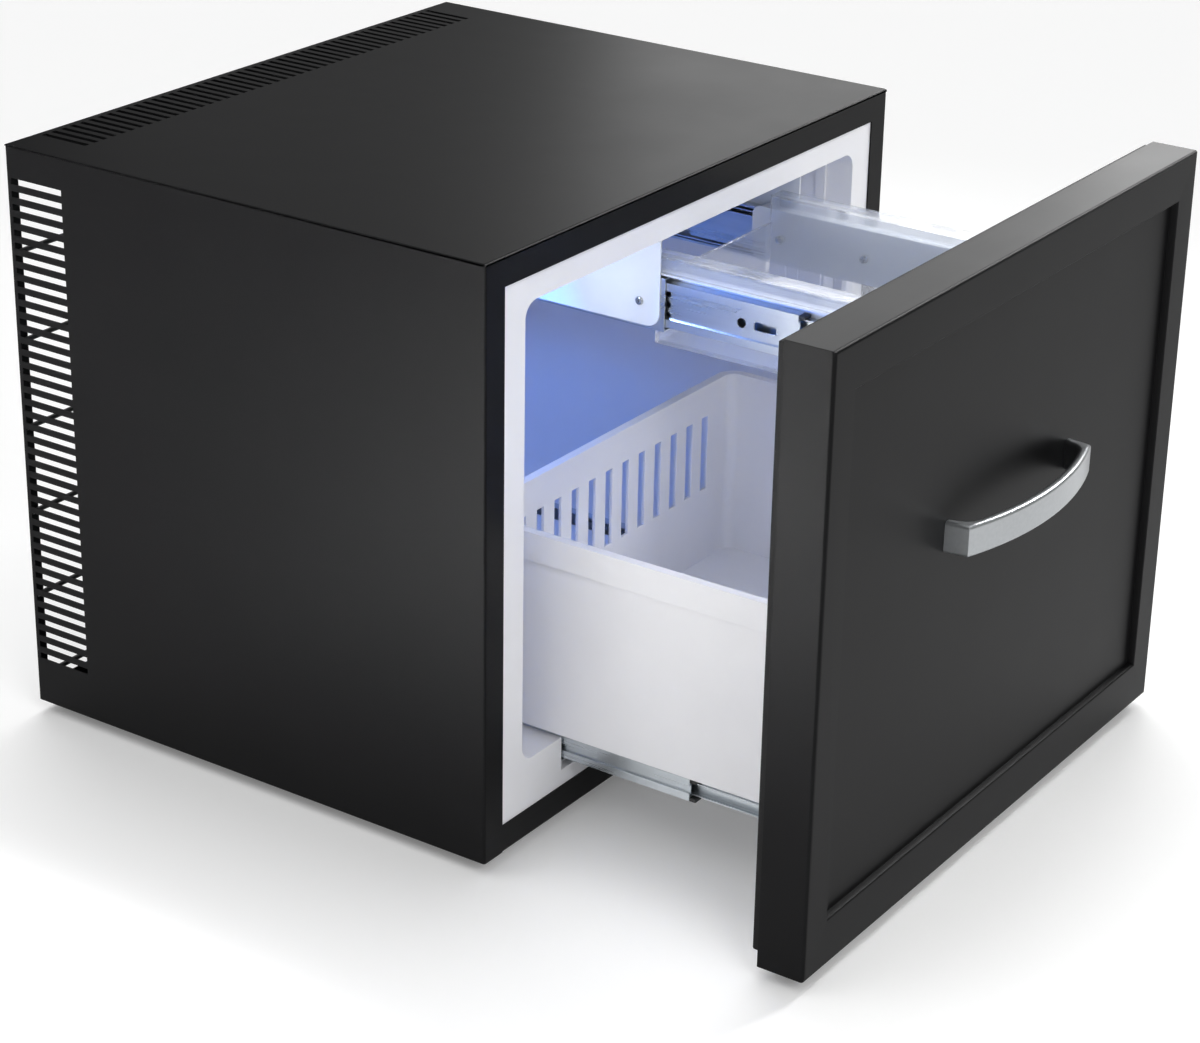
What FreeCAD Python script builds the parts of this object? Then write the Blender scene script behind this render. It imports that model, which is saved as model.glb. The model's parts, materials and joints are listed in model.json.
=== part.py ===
import FreeCAD, Part
import Sketcher
import math
import os
import re

# A drawer mini fridge: a black steel cabinet with a moulded liner, and one insulated drawer front that
# carries a bin below and a clear tray above on four telescopic slides. Millimetres.
# Model frame: X to the right, Y from the cabinet's front plane to its rear, Z up from its underside.
# The drawer is drawn shut and its Placement slides it out to the rest pose.

SIZES = {
    # cabinet panels
    "cabinet_width": 585,
    "cabinet_height": 500,
    "cabinet_depth": 481,
    "sheet_metal": 1.2,
    "rim_width": 24,
    "rear_flange_width": 12,
    "bend_radius": 2.2,
    "top_edge_radius": 0.8,
    "foot_height": 12,
    "foot_radius": 15,
    "foot_inset": 50,
    # vents
    "vent_height": 5.3,
    "vent_pitch": 10.93,
    "vent_top_gap": 28,
    "vent_first": 43.8,
    "vent_length": 55,
    "vent_rear_gap": 5,
    "top_vent_pitch": 10.8,
    "top_vent_margin": 34,
    "top_vent_length": 48,
    "top_vent_rear_gap": 6,
    # liner and insulation
    "liner_wall": 2.5,
    "side_insulation": 51.5,
    "cavity_floor": 68,
    "ceiling_drop": 45,
    "rear_insulation": 51,
    "cavity_corner": 14,
    "flange_thickness": 3,
    "flange_tuck": 8,
    "channel_inset": 12,
    "channel_width": 24,
    "channel_gap": 7,
    "rib_reach": 2.5,
    "rib_width": 9,
    "rib_setback": 27,
    "rib_pitch": 36,
    "rib_count": 2,
    "duct_depth": 60,
    "rear_sheet": 0.8,
    # slides
    "pull_left": 104,
    "slide_rear_gap": 18,
    "slide_setback": 2,
    "slide_steel": 1.2,
    "slide_thickness": 12.7,
    "fixed_member_depth": 9.6,
    "middle_member_end": 11,
    "web_gap": 0.6,
    "web_recess": 2.2,
    "race_gap": 2.6,
    "race_clearance": 0.2,
    "race_band": 5.5,
    "lip_height": 1,
    "cage_side_gap": 0.5,
    "cage_margin": 178,
    "bumper_length": 6,
    "upper_slide_height": 45,
    "upper_slide_drop": 57,
    "lower_slide_height": 27,
    "lower_slide_drop": 15.5,
    "window_radius": 4,
    "window_setback": 53,
    "slot_setback": 21,
    "slot_length": 20,
    "slot_height": 7,
    "column_setback": 122,
    "column_radius": 2.6,
    "column_pitch": 9,
    # hangers, arms and brackets
    "tray_centre": 55,
    "arm_spread": 92.7,
    "hanger_sheet": 1.6,
    "hanger_lift": 2.5,
    "hanger_front": 6,
    "hanger_margin": 16,
    "hanger_flange": 22,
    "hanger_corner": 12,
    "arm_sheet": 1.6,
    "arm_drop": 22,
    "arm_rise": 26,
    "arm_rear_gap": 63,
    "arm_flange": 16,
    "arm_corner": 8,
    "arm_ledge_gap": 1.2,
    "arm_ledge_setback": 14,
    "bracket_sheet": 1.5,
    "bracket_flange": 50,
    "bracket_drop": 24,
    "screw_radius": 2,
    "screw_clearance": 0.2,
    "screw_head_radius": 3.6,
    "screw_head_height": 1.8,
    "screw_margin": 19,
    "screw_count": 3,
    "arm_screw_margin": 28,
    "arm_screw_pitch": 83,
    # bin and tray
    "bin_side_gap": 42,
    "bin_lift": 6,
    "bin_height": 173,
    "bin_front": 8,
    "bin_rear_gap": 30,
    "bin_wall": 3,
    "bin_skirt_height": 24,
    "bin_skirt_reach": 5,
    "bin_corner": 18,
    "bin_slot_width": 10,
    "bin_slot_length": 70,
    "bin_slot_pitch": 25,
    "bin_slot_margin": 40,
    "bin_slot_drop": 30,
    "tray_wall": 2.5,
    "tray_depth": 67,
    "tray_side_gap": 3,
    "tray_rim_reach": 15,
    "tray_rim_height": 14,
    "tray_front": 14,
    "tray_rear_gap": 21,
    "tray_end_drop": 10,
    # door
    "door_thickness": 41,
    "door_skin": 1.2,
    "door_edge_radius": 3,
    "frame_side": 31,
    "frame_top": 37,
    "frame_bottom": 40,
    "recess_depth": 6,
    "recess_bevel": 1,
    "recess_edge_bevel": 1.2,
    "door_panel": 3,
    "gasket_thickness": 7,
    "gasket_gap": 0.3,
    "gasket_width": 20,
    "gasket_inset": 6,
    "gasket_bottom_inset": 15,
    "gasket_round": 2,
    # handle
    "handle_drop": 207,
    "handle_span": 208,
    "strap_width": 26,
    "strap_thickness": 7,
    "leg_reach": 24,
    "leg_slant": 12,
    "bow": 13,
    "strap_bevel": 0.8,
    "knee_round": 9,
    # cooling unit
    "unit_gap": 26,
    "tube_radius": 6,
    "tube_bend": 18,
    "tube_bend_steps": 3,
    "tube_clearance": 0.3,
    "vessel_radius": 21,
    "vessel_length": 300,
    "vessel_offset": -30,
    "vessel_centre": 62,
    "cradle_width": 24,
    "cradle_spread": 90,
    "cradle_depth": 34,
    "boiler_radius": 21,
    "feed_reach": 65,
    "boiler_lift": 34,
    "riser": 105,
    "condenser_drop": 55,
    "evaporator_width": 220,
    "evaporator_height": 110,
    "evaporator_drop": 200,
    "evaporator_plate": 4,
    "evaporator_fin_depth": 14,
    "evaporator_fin": 1.6,
    "evaporator_fin_count": 15,
    "inlet_tube_place": -90,
    "inlet_tube_rise": 97,
    "return_tube_place": 90,
    "return_tube_rise": 45,
    "coil_reach": 40,
    "coil_boiler_gap": 85,
    "coil_tail": 20,
    "coil_fall": 6,
    "coil_runs": 3,
    "fin_size": 34,
    "fin_sheet": 0.8,
    "fin_pitch": 18,
    "fin_start_gap": 30,
    "fin_end_gap": 20,
    # rear guard, electrics and lamp
    "rod_radius": 2.25,
    "rod_first": 23,
    "rod_pitch": 77,
    "rod_top_gap": 40,
    "stay_inset": 142.5,
    "stay_width": 10,
    "stay_thickness": 2,
    "rod_weld": 0.5,
    "terminal_width": 42,
    "terminal_height": 70,
    "terminal_depth": 46,
    "terminal_bottom": 20,
    "terminal_side_gap": 3,
    "terminal_round": 3,
    "inlet_width": 30,
    "inlet_height": 24,
    "inlet_body": 22,
    "inlet_wall": 3,
    "inlet_drop": 12,
    "inlet_rim": 3,
    "inlet_rim_thickness": 2,
    "pin_width": 2,
    "pin_height": 4,
    "pin_length": 12,
    "pin_spread": 7,
    "pin_drop": 2,
    "lamp_gap": 9.6,
    "lamp_width": 90,
    "lamp_front": 40,
    "lamp_length": 44,
    "lamp_base": 5,
    "lamp_lens": 6,
    "lamp_lens_inset": 4,
    "lamp_round": 3,
    "lens_bevel": 2.5,
    # one overrun serves every cut that passes a face
    "overrun": 1,
}

# Values that follow from the sizes above, as expressions of them.
DERIVED = {
    "half_width": "cabinet_width / 2",
    "inner_half_width": "cabinet_width / 2 - sheet_metal",
    "rear_wall_front": "cabinet_depth - duct_depth",
    "rear_wall_back": "cabinet_depth - duct_depth + rear_sheet",
    "unit_plane": "cabinet_depth - duct_depth + rear_sheet + unit_gap",
    "vent_count": "floor((cabinet_height - vent_first - vent_top_gap) / vent_pitch) + 1",
    "top_vent_count": "floor((cabinet_width - 2 * top_vent_margin - vent_height) / top_vent_pitch) + 1",
    "cavity_width": "cabinet_width - 2 * side_insulation",
    "cavity_depth": "rear_wall_front - rear_insulation",
    "cavity_top": "cabinet_height - ceiling_drop",
    "liner_front": "sheet_metal",
    "slide_front": "slide_setback",
    "slide_length": "cavity_depth - slide_setback - slide_rear_gap",
    "pull_out": "slide_length - pull_left",
    "cage_length": "slide_length - cage_margin",
    "upper_slide_centre": "cavity_top - upper_slide_drop",
    "lower_slide_centre": "bin_bottom - lower_slide_drop",
    "channel_floor": "lower_slide_centre - lower_slide_height / 2 - channel_gap",
    "channel_reach": "bin_half - channel_inset",
    "hanger_bottom": "upper_slide_centre - upper_slide_height / 2 + hanger_lift",
    "hanger_length": "slide_length - hanger_margin",
    "screw_first": "hanger_front + screw_margin",
    "screw_pitch": "(hanger_length - 2 * screw_margin) / (screw_count - 1)",
    "arm_bottom": "upper_slide_centre - arm_drop",
    "arm_top": "upper_slide_centre + arm_rise",
    "arm_rear": "slide_front + slide_length - arm_rear_gap",
    "arm_screw_first": "arm_rear - arm_screw_margin - (screw_count - 1) * arm_screw_pitch",
    "door_back": "-gasket_thickness",
    "door_front": "-gasket_thickness - door_thickness",
    "recess_floor": "-gasket_thickness - door_thickness + recess_depth",
    "panel_front": "-gasket_thickness - door_panel",
    "bin_half": "cavity_width / 2 - bin_side_gap",
    "bin_bottom": "cavity_floor + bin_lift",
    "bin_rear": "cavity_depth - bin_rear_gap",
    "bin_slot_count": "floor((2 * bin_half - 2 * bin_slot_margin - bin_slot_width) / bin_slot_pitch) + 1",
    "bin_rim": "bin_bottom + bin_height",
    "middle_outer_face": "slide_steel + web_gap",
    "middle_web_face": "slide_steel + web_gap + web_recess",
    "drawer_member_start": "2 * slide_steel + 2 * web_gap + web_recess",
    "tray_left": "tray_centre - arm_spread + arm_sheet + tray_side_gap",
    "tray_right": "tray_centre + arm_spread - arm_sheet - tray_side_gap",
    "tray_bottom": "arm_top - tray_depth",
    "tray_rear": "arm_rear - tray_rear_gap",
    "handle_centre": "cabinet_height - handle_drop",
    "handle_front": "recess_floor - leg_reach - bow",
    "vessel_left": "vessel_offset - vessel_length / 2",
    "vessel_right": "vessel_offset + vessel_length / 2",
    "boiler_place": "vessel_right + feed_reach",
    "boiler_bottom": "vessel_centre + boiler_lift",
    "boiler_height": "condenser_level - riser - boiler_bottom",
    "condenser_level": "cabinet_height - condenser_drop",
    "evaporator_bottom": "cavity_top - evaporator_drop",
    "inlet_tube_level": "evaporator_bottom + inlet_tube_rise",
    "return_tube_level": "evaporator_bottom + return_tube_rise",
    "coil_left": "vessel_left - coil_reach",
    "coil_right": "boiler_place - coil_boiler_gap",
    "coil_pitch": "(return_tube_level - vessel_centre - coil_tail) / coil_runs",
    "fin_start": "inlet_tube_place + fin_start_gap",
    "fin_count": "floor((boiler_place - fin_end_gap - fin_start) / fin_pitch) + 1",
    "rod_count": "floor((cabinet_height - rod_first - rod_top_gap) / rod_pitch) + 1",
    "stay_place": "half_width - stay_inset",
    "lamp_right": "tray_centre - arm_spread - slide_thickness - hanger_flange - lamp_gap",
    "lamp_left": "lamp_right - lamp_width",
    "rest_shift": "(pull_out - handle_front - cabinet_depth) / 2",
}

doc = FreeCAD.newDocument("drawer_mini_fridge")
sheet = doc.addObject("Spreadsheet::Sheet", "sizes")
for row, (alias, size) in enumerate(SIZES.items(), start=1):
    sheet.set(f"A{row}", alias)
    sheet.set(f"B{row}", str(size))
    sheet.setAlias(f"B{row}", alias)
doc.recompute()

WORD = re.compile(r"[a-z][a-z_]+")
PLANE_NORMAL = {"XY_Plane": "", "XZ_Plane": "-", "YZ_Plane": ""}
nodes = {}
# A swept tube may differ from its section times its length by this share.
VOLUME_SHARE = 0.001
# A direction counts as an axis when this share of it lies along that axis.
AXIS_SHARE = 0.99
# The kind of corner between the runs of a swept tube.
MITRE = 1


def bound(text):
    """Write an expression in size names as one that reads the sheet's cells."""
    def swap(match):
        word = match.group(0)
        if word in SIZES:
            return f"sizes.{word}"
        if word in DERIVED:
            return f"({bound(DERIVED[word])})"
        return word
    return WORD.sub(swap, str(text))


def number(text):
    """The present value of an expression in size names."""
    return float(sheet.evalExpression(bound(text)))


def side(sign, text):
    """The same distance on the left (-1) or the right (1) of the middle plane."""
    return f"{sign} * ({text})"


def new_body(name):
    return doc.addObject("PartDesign::Body", name)


def new_sketch(body, plane, at):
    sketch = body.newObject("Sketcher::SketchObject", body.Name + "_outline")
    support = next(f for f in body.Origin.OriginFeatures if f.Role == plane)
    sketch.AttachmentSupport = (support, [""])
    sketch.MapMode = "FlatFace"
    sketch.setExpression("AttachmentOffset.Base.z", bound(f"{PLANE_NORMAL[plane]}({at})"))
    return sketch


def pin_point(sketch, curve, end, place):
    """Hold one end of a curve at a place written in size names."""
    for kind, text in zip(("DistanceX", "DistanceY"), place):
        index = sketch.addConstraint(Sketcher.Constraint(kind, -1, 1, curve, end, number(text)))
        sketch.setExpression(f"Constraints[{index}]", bound(text))


def vector(place):
    return FreeCAD.Vector(number(place[0]), number(place[1]), 0)


def polygon(points):
    """Draw a closed outline of straight lines."""
    def draw(sketch):
        curves = []
        for start, end in zip(points, points[1:] + points[:1]):
            curves.append(sketch.addGeometry(Part.LineSegment(vector(start), vector(end))))
        for curve, after in zip(curves, curves[1:] + curves[:1]):
            sketch.addConstraint(Sketcher.Constraint("Coincident", curve, 2, after, 1))
        for curve, place in zip(curves, points):
            pin_point(sketch, curve, 1, place)
    return draw


def rectangle(left, right, low, high):
    return polygon([(left, low), (right, low), (right, high), (left, high)])


def rounded(left, right, low, high, radius):
    """Draw a rectangle with round corners."""
    def draw(sketch):
        reach = number(radius)
        lines = []
        arcs = []
        for across, up, out_across, out_up, turn in (
            (left, low, 1, 1, 180), (right, low, -1, 1, 270),
            (right, high, -1, -1, 0), (left, high, 1, -1, 90),
        ):
            centre = (f"{across} + {out_across} * ({radius})", f"{up} + {out_up} * ({radius})")
            ring = Part.Circle(vector(centre), FreeCAD.Vector(0, 0, 1), reach)
            start = math.radians(turn)
            arc = sketch.addGeometry(Part.ArcOfCircle(ring, start, start + math.pi / 2))
            arcs.append((arc, centre))
        for (arc, centre), (after, next_centre) in zip(arcs, arcs[1:] + arcs[:1]):
            line = Part.LineSegment(sketch.getPoint(arc, 2), sketch.getPoint(after, 1))
            lines.append(sketch.addGeometry(line))
        for index, line in enumerate(lines):
            sketch.addConstraint(Sketcher.Constraint("Tangent", arcs[index][0], 2, line, 1))
            sketch.addConstraint(Sketcher.Constraint("Tangent", line, 2, arcs[(index + 1) % len(arcs)][0], 1))
        for arc, centre in arcs:
            pin_point(sketch, arc, 3, centre)
            index = sketch.addConstraint(Sketcher.Constraint("Radius", arc, reach))
            sketch.setExpression(f"Constraints[{index}]", bound(radius))
    return draw


def circle(across, up, radius):
    def draw(sketch):
        middle = vector((across, up))
        up_normal = FreeCAD.Vector(0, 0, 1)
        curve = sketch.addGeometry(Part.Circle(middle, up_normal, number(radius)))
        pin_point(sketch, curve, 3, (across, up))
        index = sketch.addConstraint(Sketcher.Constraint("Radius", curve, number(radius)))
        sketch.setExpression(f"Constraints[{index}]", bound(radius))
    return draw


def eight_sided(across, up, radius):
    """Draw a small round as eight flats, which keeps the facets of what repeats few."""
    flat = f"(sqrt(2) - 1) * ({radius})"
    quarter = [(radius, flat), (flat, radius)]
    corners = quarter + [(f"-({x})", y) for x, y in quarter[::-1]]
    corners += [(f"-({x})", f"-({y})") for x, y in quarter] + [(x, f"-({y})") for x, y in quarter[::-1]]
    return polygon([(f"{across} + {x}", f"{up} + {y}") for x, y in corners])


def extrude(kind, body, plane, at, length, drawings):
    """Pad or pocket an outline along the plane's axis, from a place towards plus by a length."""
    sketch = new_sketch(body, plane, at)
    for draw in drawings:
        draw(sketch)
    before = body.Shape.Volume if body.Tip else 0
    feature = body.newObject(f"PartDesign::{kind}", f"{body.Name}_{kind.lower()}")
    feature.Profile = sketch
    feature.setExpression("Length", bound(length))
    feature.Reversed = (plane == "XZ_Plane") == (kind == "Pad")
    doc.recompute()
    change = body.Shape.Volume - before
    if change * (1 if kind == "Pad" else -1) <= 0:
        raise RuntimeError(f"{feature.Name} changed the volume by {change}")
    return feature


def pad(body, plane, at, length, *drawings):
    return extrude("Pad", body, plane, at, length, drawings)


def pocket(body, plane, at, length, *drawings):
    return extrude("Pocket", body, plane, at, length, drawings)


def repeat(body, feature, axis, count, pitch):
    """Copy a feature along an axis of the body."""
    pattern = body.newObject("PartDesign::LinearPattern", f"{body.Name}_pattern")
    pattern.Originals = [feature]
    direction = next(f for f in body.Origin.OriginFeatures if f.Role == axis)
    pattern.Direction = (direction, [""])
    pattern.setExpression("Length", bound(f"({count} - 1) * ({pitch})"))
    pattern.setExpression("Occurrences", bound(count))
    body.Tip = pattern
    doc.recompute()
    return pattern


def edges_where(shape, wanted):
    """Names of the edges whose middle point and direction answer a test; a curve has no direction."""
    names = []
    for index, edge in enumerate(shape.Edges, start=1):
        along = FreeCAD.Vector()
        if edge.Curve.TypeId == "Part::GeomLine":
            along = edge.tangentAt(edge.FirstParameter)
        if wanted(edge.CenterOfMass, along):
            names.append(f"Edge{index}")
    return names


def dress(kind, body, radius, wanted):
    """Round or bevel the edges of a body that answer a test."""
    base = body.Tip
    names = edges_where(base.Shape, wanted)
    if not names:
        raise RuntimeError(f"{body.Name} has no edge to {kind.lower()}")
    feature = body.newObject(f"PartDesign::{kind}", f"{body.Name}_{kind.lower()}")
    feature.Base = (base, names)
    feature.setExpression("Radius" if kind == "Fillet" else "Size", bound(radius))
    doc.recompute()
    if not feature.isValid():
        raise RuntimeError(f"{feature.Name} failed: {feature.getStatusString()}")
    return feature


def near(value, text):
    return abs(value - number(text)) < number("overrun") / 2


def along_axis(direction, axis):
    return abs(getattr(direction, axis)) > AXIS_SHARE


def box(name, left, right, front, back, low, high):
    solid = doc.addObject("Part::Box", name)
    for size, (start, end) in {
        "Length": (left, right), "Width": (front, back), "Height": (low, high),
    }.items():
        solid.setExpression(size, bound(f"({end}) - ({start})"))
    for axis, start in zip("xyz", (left, front, low)):
        solid.setExpression(f"Placement.Base.{axis}", bound(start))
    return solid


TURN = {
    "x": FreeCAD.Rotation(FreeCAD.Vector(0, 1, 0), 90),
    "y": FreeCAD.Rotation(FreeCAD.Vector(1, 0, 0), -90),
    "z": FreeCAD.Rotation(),
}


def cylinder(name, axis, start, radius, length):
    """A round bar from its start point along plus X, Y or Z."""
    solid = doc.addObject("Part::Cylinder", name)
    solid.Placement = FreeCAD.Placement(FreeCAD.Vector(), TURN[axis])
    solid.setExpression("Radius", bound(radius))
    solid.setExpression("Height", bound(length))
    for coordinate, text in zip("xyz", start):
        solid.setExpression(f"Placement.Base.{coordinate}", bound(text))
    return solid


def cut(name, base, tools):
    result = doc.addObject("Part::Cut", name)
    result.Base = base
    result.Tool = tools[0] if len(tools) == 1 else fuse(name + "_tools", tools)
    return result


def fuse(name, solids):
    result = doc.addObject("Part::MultiFuse", name)
    result.Shapes = solids
    return result


def group(name, solids):
    result = doc.addObject("Part::Compound", name)
    result.Links = solids
    return result


def tube(name, points):
    """An eight-sided tube along straight runs, with each bend of the same radius in a few mitred steps."""
    bend = number("tube_bend")
    steps = int(number("tube_bend_steps"))
    corners = [FreeCAD.Vector(*(number(text) for text in point)) for point in points]
    route = [corners[0]]
    for before, corner, after in zip(corners, corners[1:], corners[2:]):
        back = (before - corner).normalize()
        ahead = (after - corner).normalize()
        half = back.getAngle(ahead) / 2
        reach = bend / math.tan(half)
        towards = (back + ahead).normalize()
        middle = corner + towards * (bend / math.sin(half) - bend)
        arc = Part.Arc(corner + back * reach, middle, corner + ahead * reach)
        for step in range(steps + 1):
            turn = (arc.LastParameter - arc.FirstParameter) * step / steps
            route.append(arc.value(arc.FirstParameter + turn))
    route.append(corners[-1])
    path = Part.makePolygon(route)
    first = (route[1] - route[0]).normalize()
    level = FreeCAD.Vector(1, 0, 0) if abs(first.y) > abs(first.x) + abs(first.z) else FreeCAD.Vector(0, 1, 0)
    upright = first.cross(level)
    radius = number("tube_radius")
    flat = radius * math.tan(math.pi / 8)
    ring = []
    for across, up in (
        (radius, flat), (flat, radius), (-flat, radius), (-radius, flat),
        (-radius, -flat), (-flat, -radius), (flat, -radius), (radius, -flat),
    ):
        ring.append(route[0] + level * across + upright * up)
    section = Part.makePolygon(ring + ring[:1])
    solid = doc.addObject("Part::Feature", name)
    solid.Shape = path.makePipeShell([section], True, False, MITRE)
    expected = Part.Face(section).Area * path.Length
    if abs(solid.Shape.Volume - expected) > expected * VOLUME_SHARE:
        raise RuntimeError(f"{name} has volume {solid.Shape.Volume}, not {expected}")
    return solid


SIDES = (("left", -1), ("right", 1))
# How far each moving group stands out of the cabinet at rest.
RIDES = {
    "cabinet": "0",
    "drawer": "pull_out",
    "middle_members": "pull_out / 2",
    "outer_cages": "pull_out / 4",
    "inner_cages": "3 * pull_out / 4",
}


def place(node, rides, solid):
    """Name a finished piece and stand it in the rest pose, with the origin on the floor."""
    solid.Label = node
    solid.setExpression("Placement.Base.y", bound(f"rest_shift - ({RIDES[rides]})"))
    solid.setExpression("Placement.Base.z", bound("foot_height"))
    nodes[node] = solid


def side_panel(name, sign):
    """A folded side: web, front rim and rear flange in one sheet, with a column of vents."""
    body = new_body(f"{name}_side_panel")
    outer = side(sign, "half_width")
    inner = side(sign, "inner_half_width")
    rim = side(sign, "half_width - rim_width")
    flange = side(sign, "half_width - rear_flange_width")
    back = "cabinet_depth - sheet_metal"
    outline = polygon([
        (outer, "0"), (rim, "0"), (rim, "sheet_metal"), (inner, "sheet_metal"),
        (inner, back), (flange, back), (flange, "cabinet_depth"), (outer, "cabinet_depth"),
    ])
    pad(body, "XY_Plane", "0", "cabinet_height - sheet_metal", outline)
    dress("Fillet", body, "bend_radius", lambda at, along: along_axis(along, "z") and near(at.x, outer))
    wall = "half_width - sheet_metal" if sign > 0 else "-half_width"
    tail = "cabinet_depth - vent_rear_gap"
    low = "vent_first - vent_height / 2"
    slot = rectangle(f"{tail} - vent_length", tail, low, f"{low} + vent_height")
    vent = pocket(body, "YZ_Plane", f"{wall} - overrun", "sheet_metal + 2 * overrun", slot)
    repeat(body, vent, "Z_Axis", "vent_count", "vent_pitch")
    place(f"{name}_side_panel", "cabinet", body)


def top_panel():
    """The top sheet with its front rim, rear flange and a row of vents along the rear edge."""
    body = new_body("top_panel")
    under = "cabinet_height - sheet_metal"
    plate = rectangle("-half_width", "half_width", "0", "cabinet_depth")
    pad(body, "XY_Plane", under, "sheet_metal", plate)
    rim = rectangle("rim_width - half_width", "half_width - rim_width", "0", "sheet_metal")
    pad(body, "XY_Plane", "cabinet_height - rim_width", "rim_width - sheet_metal", rim)
    flange = rectangle(
        "rear_flange_width - half_width", "half_width - rear_flange_width",
        "cabinet_depth - sheet_metal", "cabinet_depth",
    )
    pad(body, "XY_Plane", "cabinet_height - rear_flange_width", "rear_flange_width - sheet_metal", flange)
    dress("Fillet", body, "top_edge_radius", lambda at, along: near(at.z, "cabinet_height"))
    first = "-(top_vent_count - 1) * top_vent_pitch / 2 - vent_height / 2"
    tail = "cabinet_depth - top_vent_rear_gap"
    slot = rectangle(first, f"{first} + vent_height", f"{tail} - top_vent_length", tail)
    vent = pocket(body, "XY_Plane", f"{under} - overrun", "sheet_metal + 2 * overrun", slot)
    repeat(body, vent, "X_Axis", "top_vent_count", "top_vent_pitch")
    place("top_panel", "cabinet", body)


def base_panel():
    """The floor sheet, with the lower front rim and a low rear upstand."""
    body = new_body("base_panel")
    back = "cabinet_depth - sheet_metal"
    plate = rectangle("-inner_half_width", "inner_half_width", "sheet_metal", back)
    pad(body, "XY_Plane", "0", "sheet_metal", plate)
    rim = rectangle("rim_width - half_width", "half_width - rim_width", "0", "sheet_metal")
    pad(body, "XY_Plane", "0", "rim_width", rim)
    upstand = rectangle(
        "rear_flange_width - half_width", "half_width - rear_flange_width", back, "cabinet_depth",
    )
    pad(body, "XY_Plane", "0", "rear_flange_width", upstand)
    place("base_panel", "cabinet", body)


def feet():
    """Four round rubber feet."""
    made = []
    for across in ("foot_inset - half_width", "half_width - foot_inset"):
        for deep in ("foot_inset", "cabinet_depth - foot_inset"):
            made.append(cylinder("foot", "z", (across, deep, "-foot_height"), "foot_radius", "foot_height"))
    place("feet", "cabinet", group("feet_group", made))


def tub_form(body):
    """The outside of the moulded tub: a round-cornered box with two slide channels under its floor."""
    length = "cavity_depth + liner_wall - liner_front"
    half = "cavity_width / 2 + liner_wall"
    corner = "cavity_corner + liner_wall"
    tub = rounded(f"-({half})", half, "cavity_floor - liner_wall", "cavity_top + liner_wall", corner)
    pad(body, "XZ_Plane", "liner_front", length, tub)
    for name, sign in SIDES:
        channel = rectangle(
            side(sign, "channel_reach - channel_width - liner_wall"),
            side(sign, "channel_reach + liner_wall"),
            "channel_floor - liner_wall", "cavity_floor",
        )
        pad(body, "XZ_Plane", "liner_front", length, channel)


def inner_liner():
    """The white moulded liner: a tub with a front flange that tucks behind the steel rim."""
    body = new_body("inner_liner")
    tub_form(body)
    reach = "half_width - rim_width + flange_tuck"
    flange = rectangle(
        f"-({reach})", reach, "rim_width - flange_tuck", "cabinet_height - rim_width + flange_tuck",
    )
    pad(body, "XZ_Plane", "liner_front", "flange_thickness", flange)
    hollow = rounded("-cavity_width / 2", "cavity_width / 2", "cavity_floor", "cavity_top", "cavity_corner")
    depth = "cavity_depth - liner_front + overrun"
    pocket(body, "XZ_Plane", "liner_front - overrun", depth, hollow)
    for name, sign in SIDES:
        channel = rectangle(
            side(sign, "channel_reach - channel_width"), side(sign, "channel_reach"),
            "channel_floor", "cavity_floor + overrun",
        )
        pocket(body, "XZ_Plane", "liner_front - overrun", depth, channel)
    for name, sign in SIDES:
        wall = side(sign, "cavity_width / 2")
        rib = rectangle(wall, f"{wall} - {sign} * rib_reach", "rib_setback", "rib_setback + rib_width")
        low = "cavity_floor + cavity_corner"
        stiffener = pad(body, "XY_Plane", low, f"cavity_top - cavity_corner - ({low})", rib)
        repeat(body, stiffener, "Y_Axis", "rib_count", "rib_pitch")
    wall_holes(body, "cavity_depth", "liner_wall")
    place("inner_liner", "cabinet", body)


def wall_holes(body, front, thickness):
    """The two round holes that the evaporator's tubes pass through."""
    holes = [
        eight_sided(f"{tube_name}_tube_place", f"{tube_name}_tube_level", "tube_radius + tube_clearance")
        for tube_name in ("inlet", "return")
    ]
    pocket(body, "XZ_Plane", f"{front} - overrun", f"{thickness} + 2 * overrun", *holes)


def foam_insulation():
    """The foam between the panels and the tub."""
    block = box(
        "foam_block", "-inner_half_width", "inner_half_width", "liner_front + flange_thickness",
        "rear_wall_front", "sheet_metal", "cabinet_height - sheet_metal",
    )
    tub = new_body("tub_space")
    tub_form(tub)
    holes = wall_tubes("foam_hole", "tube_radius + tube_clearance", "rear_wall_front + overrun")
    place("foam_insulation", "cabinet", cut("foam", block, [tub] + holes))


def wall_tubes(name, radius, rear):
    """Two straight eight-sided rods from the liner's back wall towards the rear."""
    rods = []
    for tube_name in ("inlet", "return"):
        body = new_body(name)
        outline = eight_sided(f"{tube_name}_tube_place", f"{tube_name}_tube_level", radius)
        pad(body, "XZ_Plane", "cavity_depth", f"{rear} - cavity_depth", outline)
        rods.append(body)
    return rods


def rear_wall():
    """The plain sheet that closes the foam and faces the rear duct."""
    body = new_body("rear_wall")
    plate = rectangle("-inner_half_width", "inner_half_width", "sheet_metal", "cabinet_height - sheet_metal")
    pad(body, "XZ_Plane", "rear_wall_front", "rear_sheet", plate)
    wall_holes(body, "rear_wall_front", "rear_sheet")
    place("rear_wall", "cabinet", body)


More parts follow.
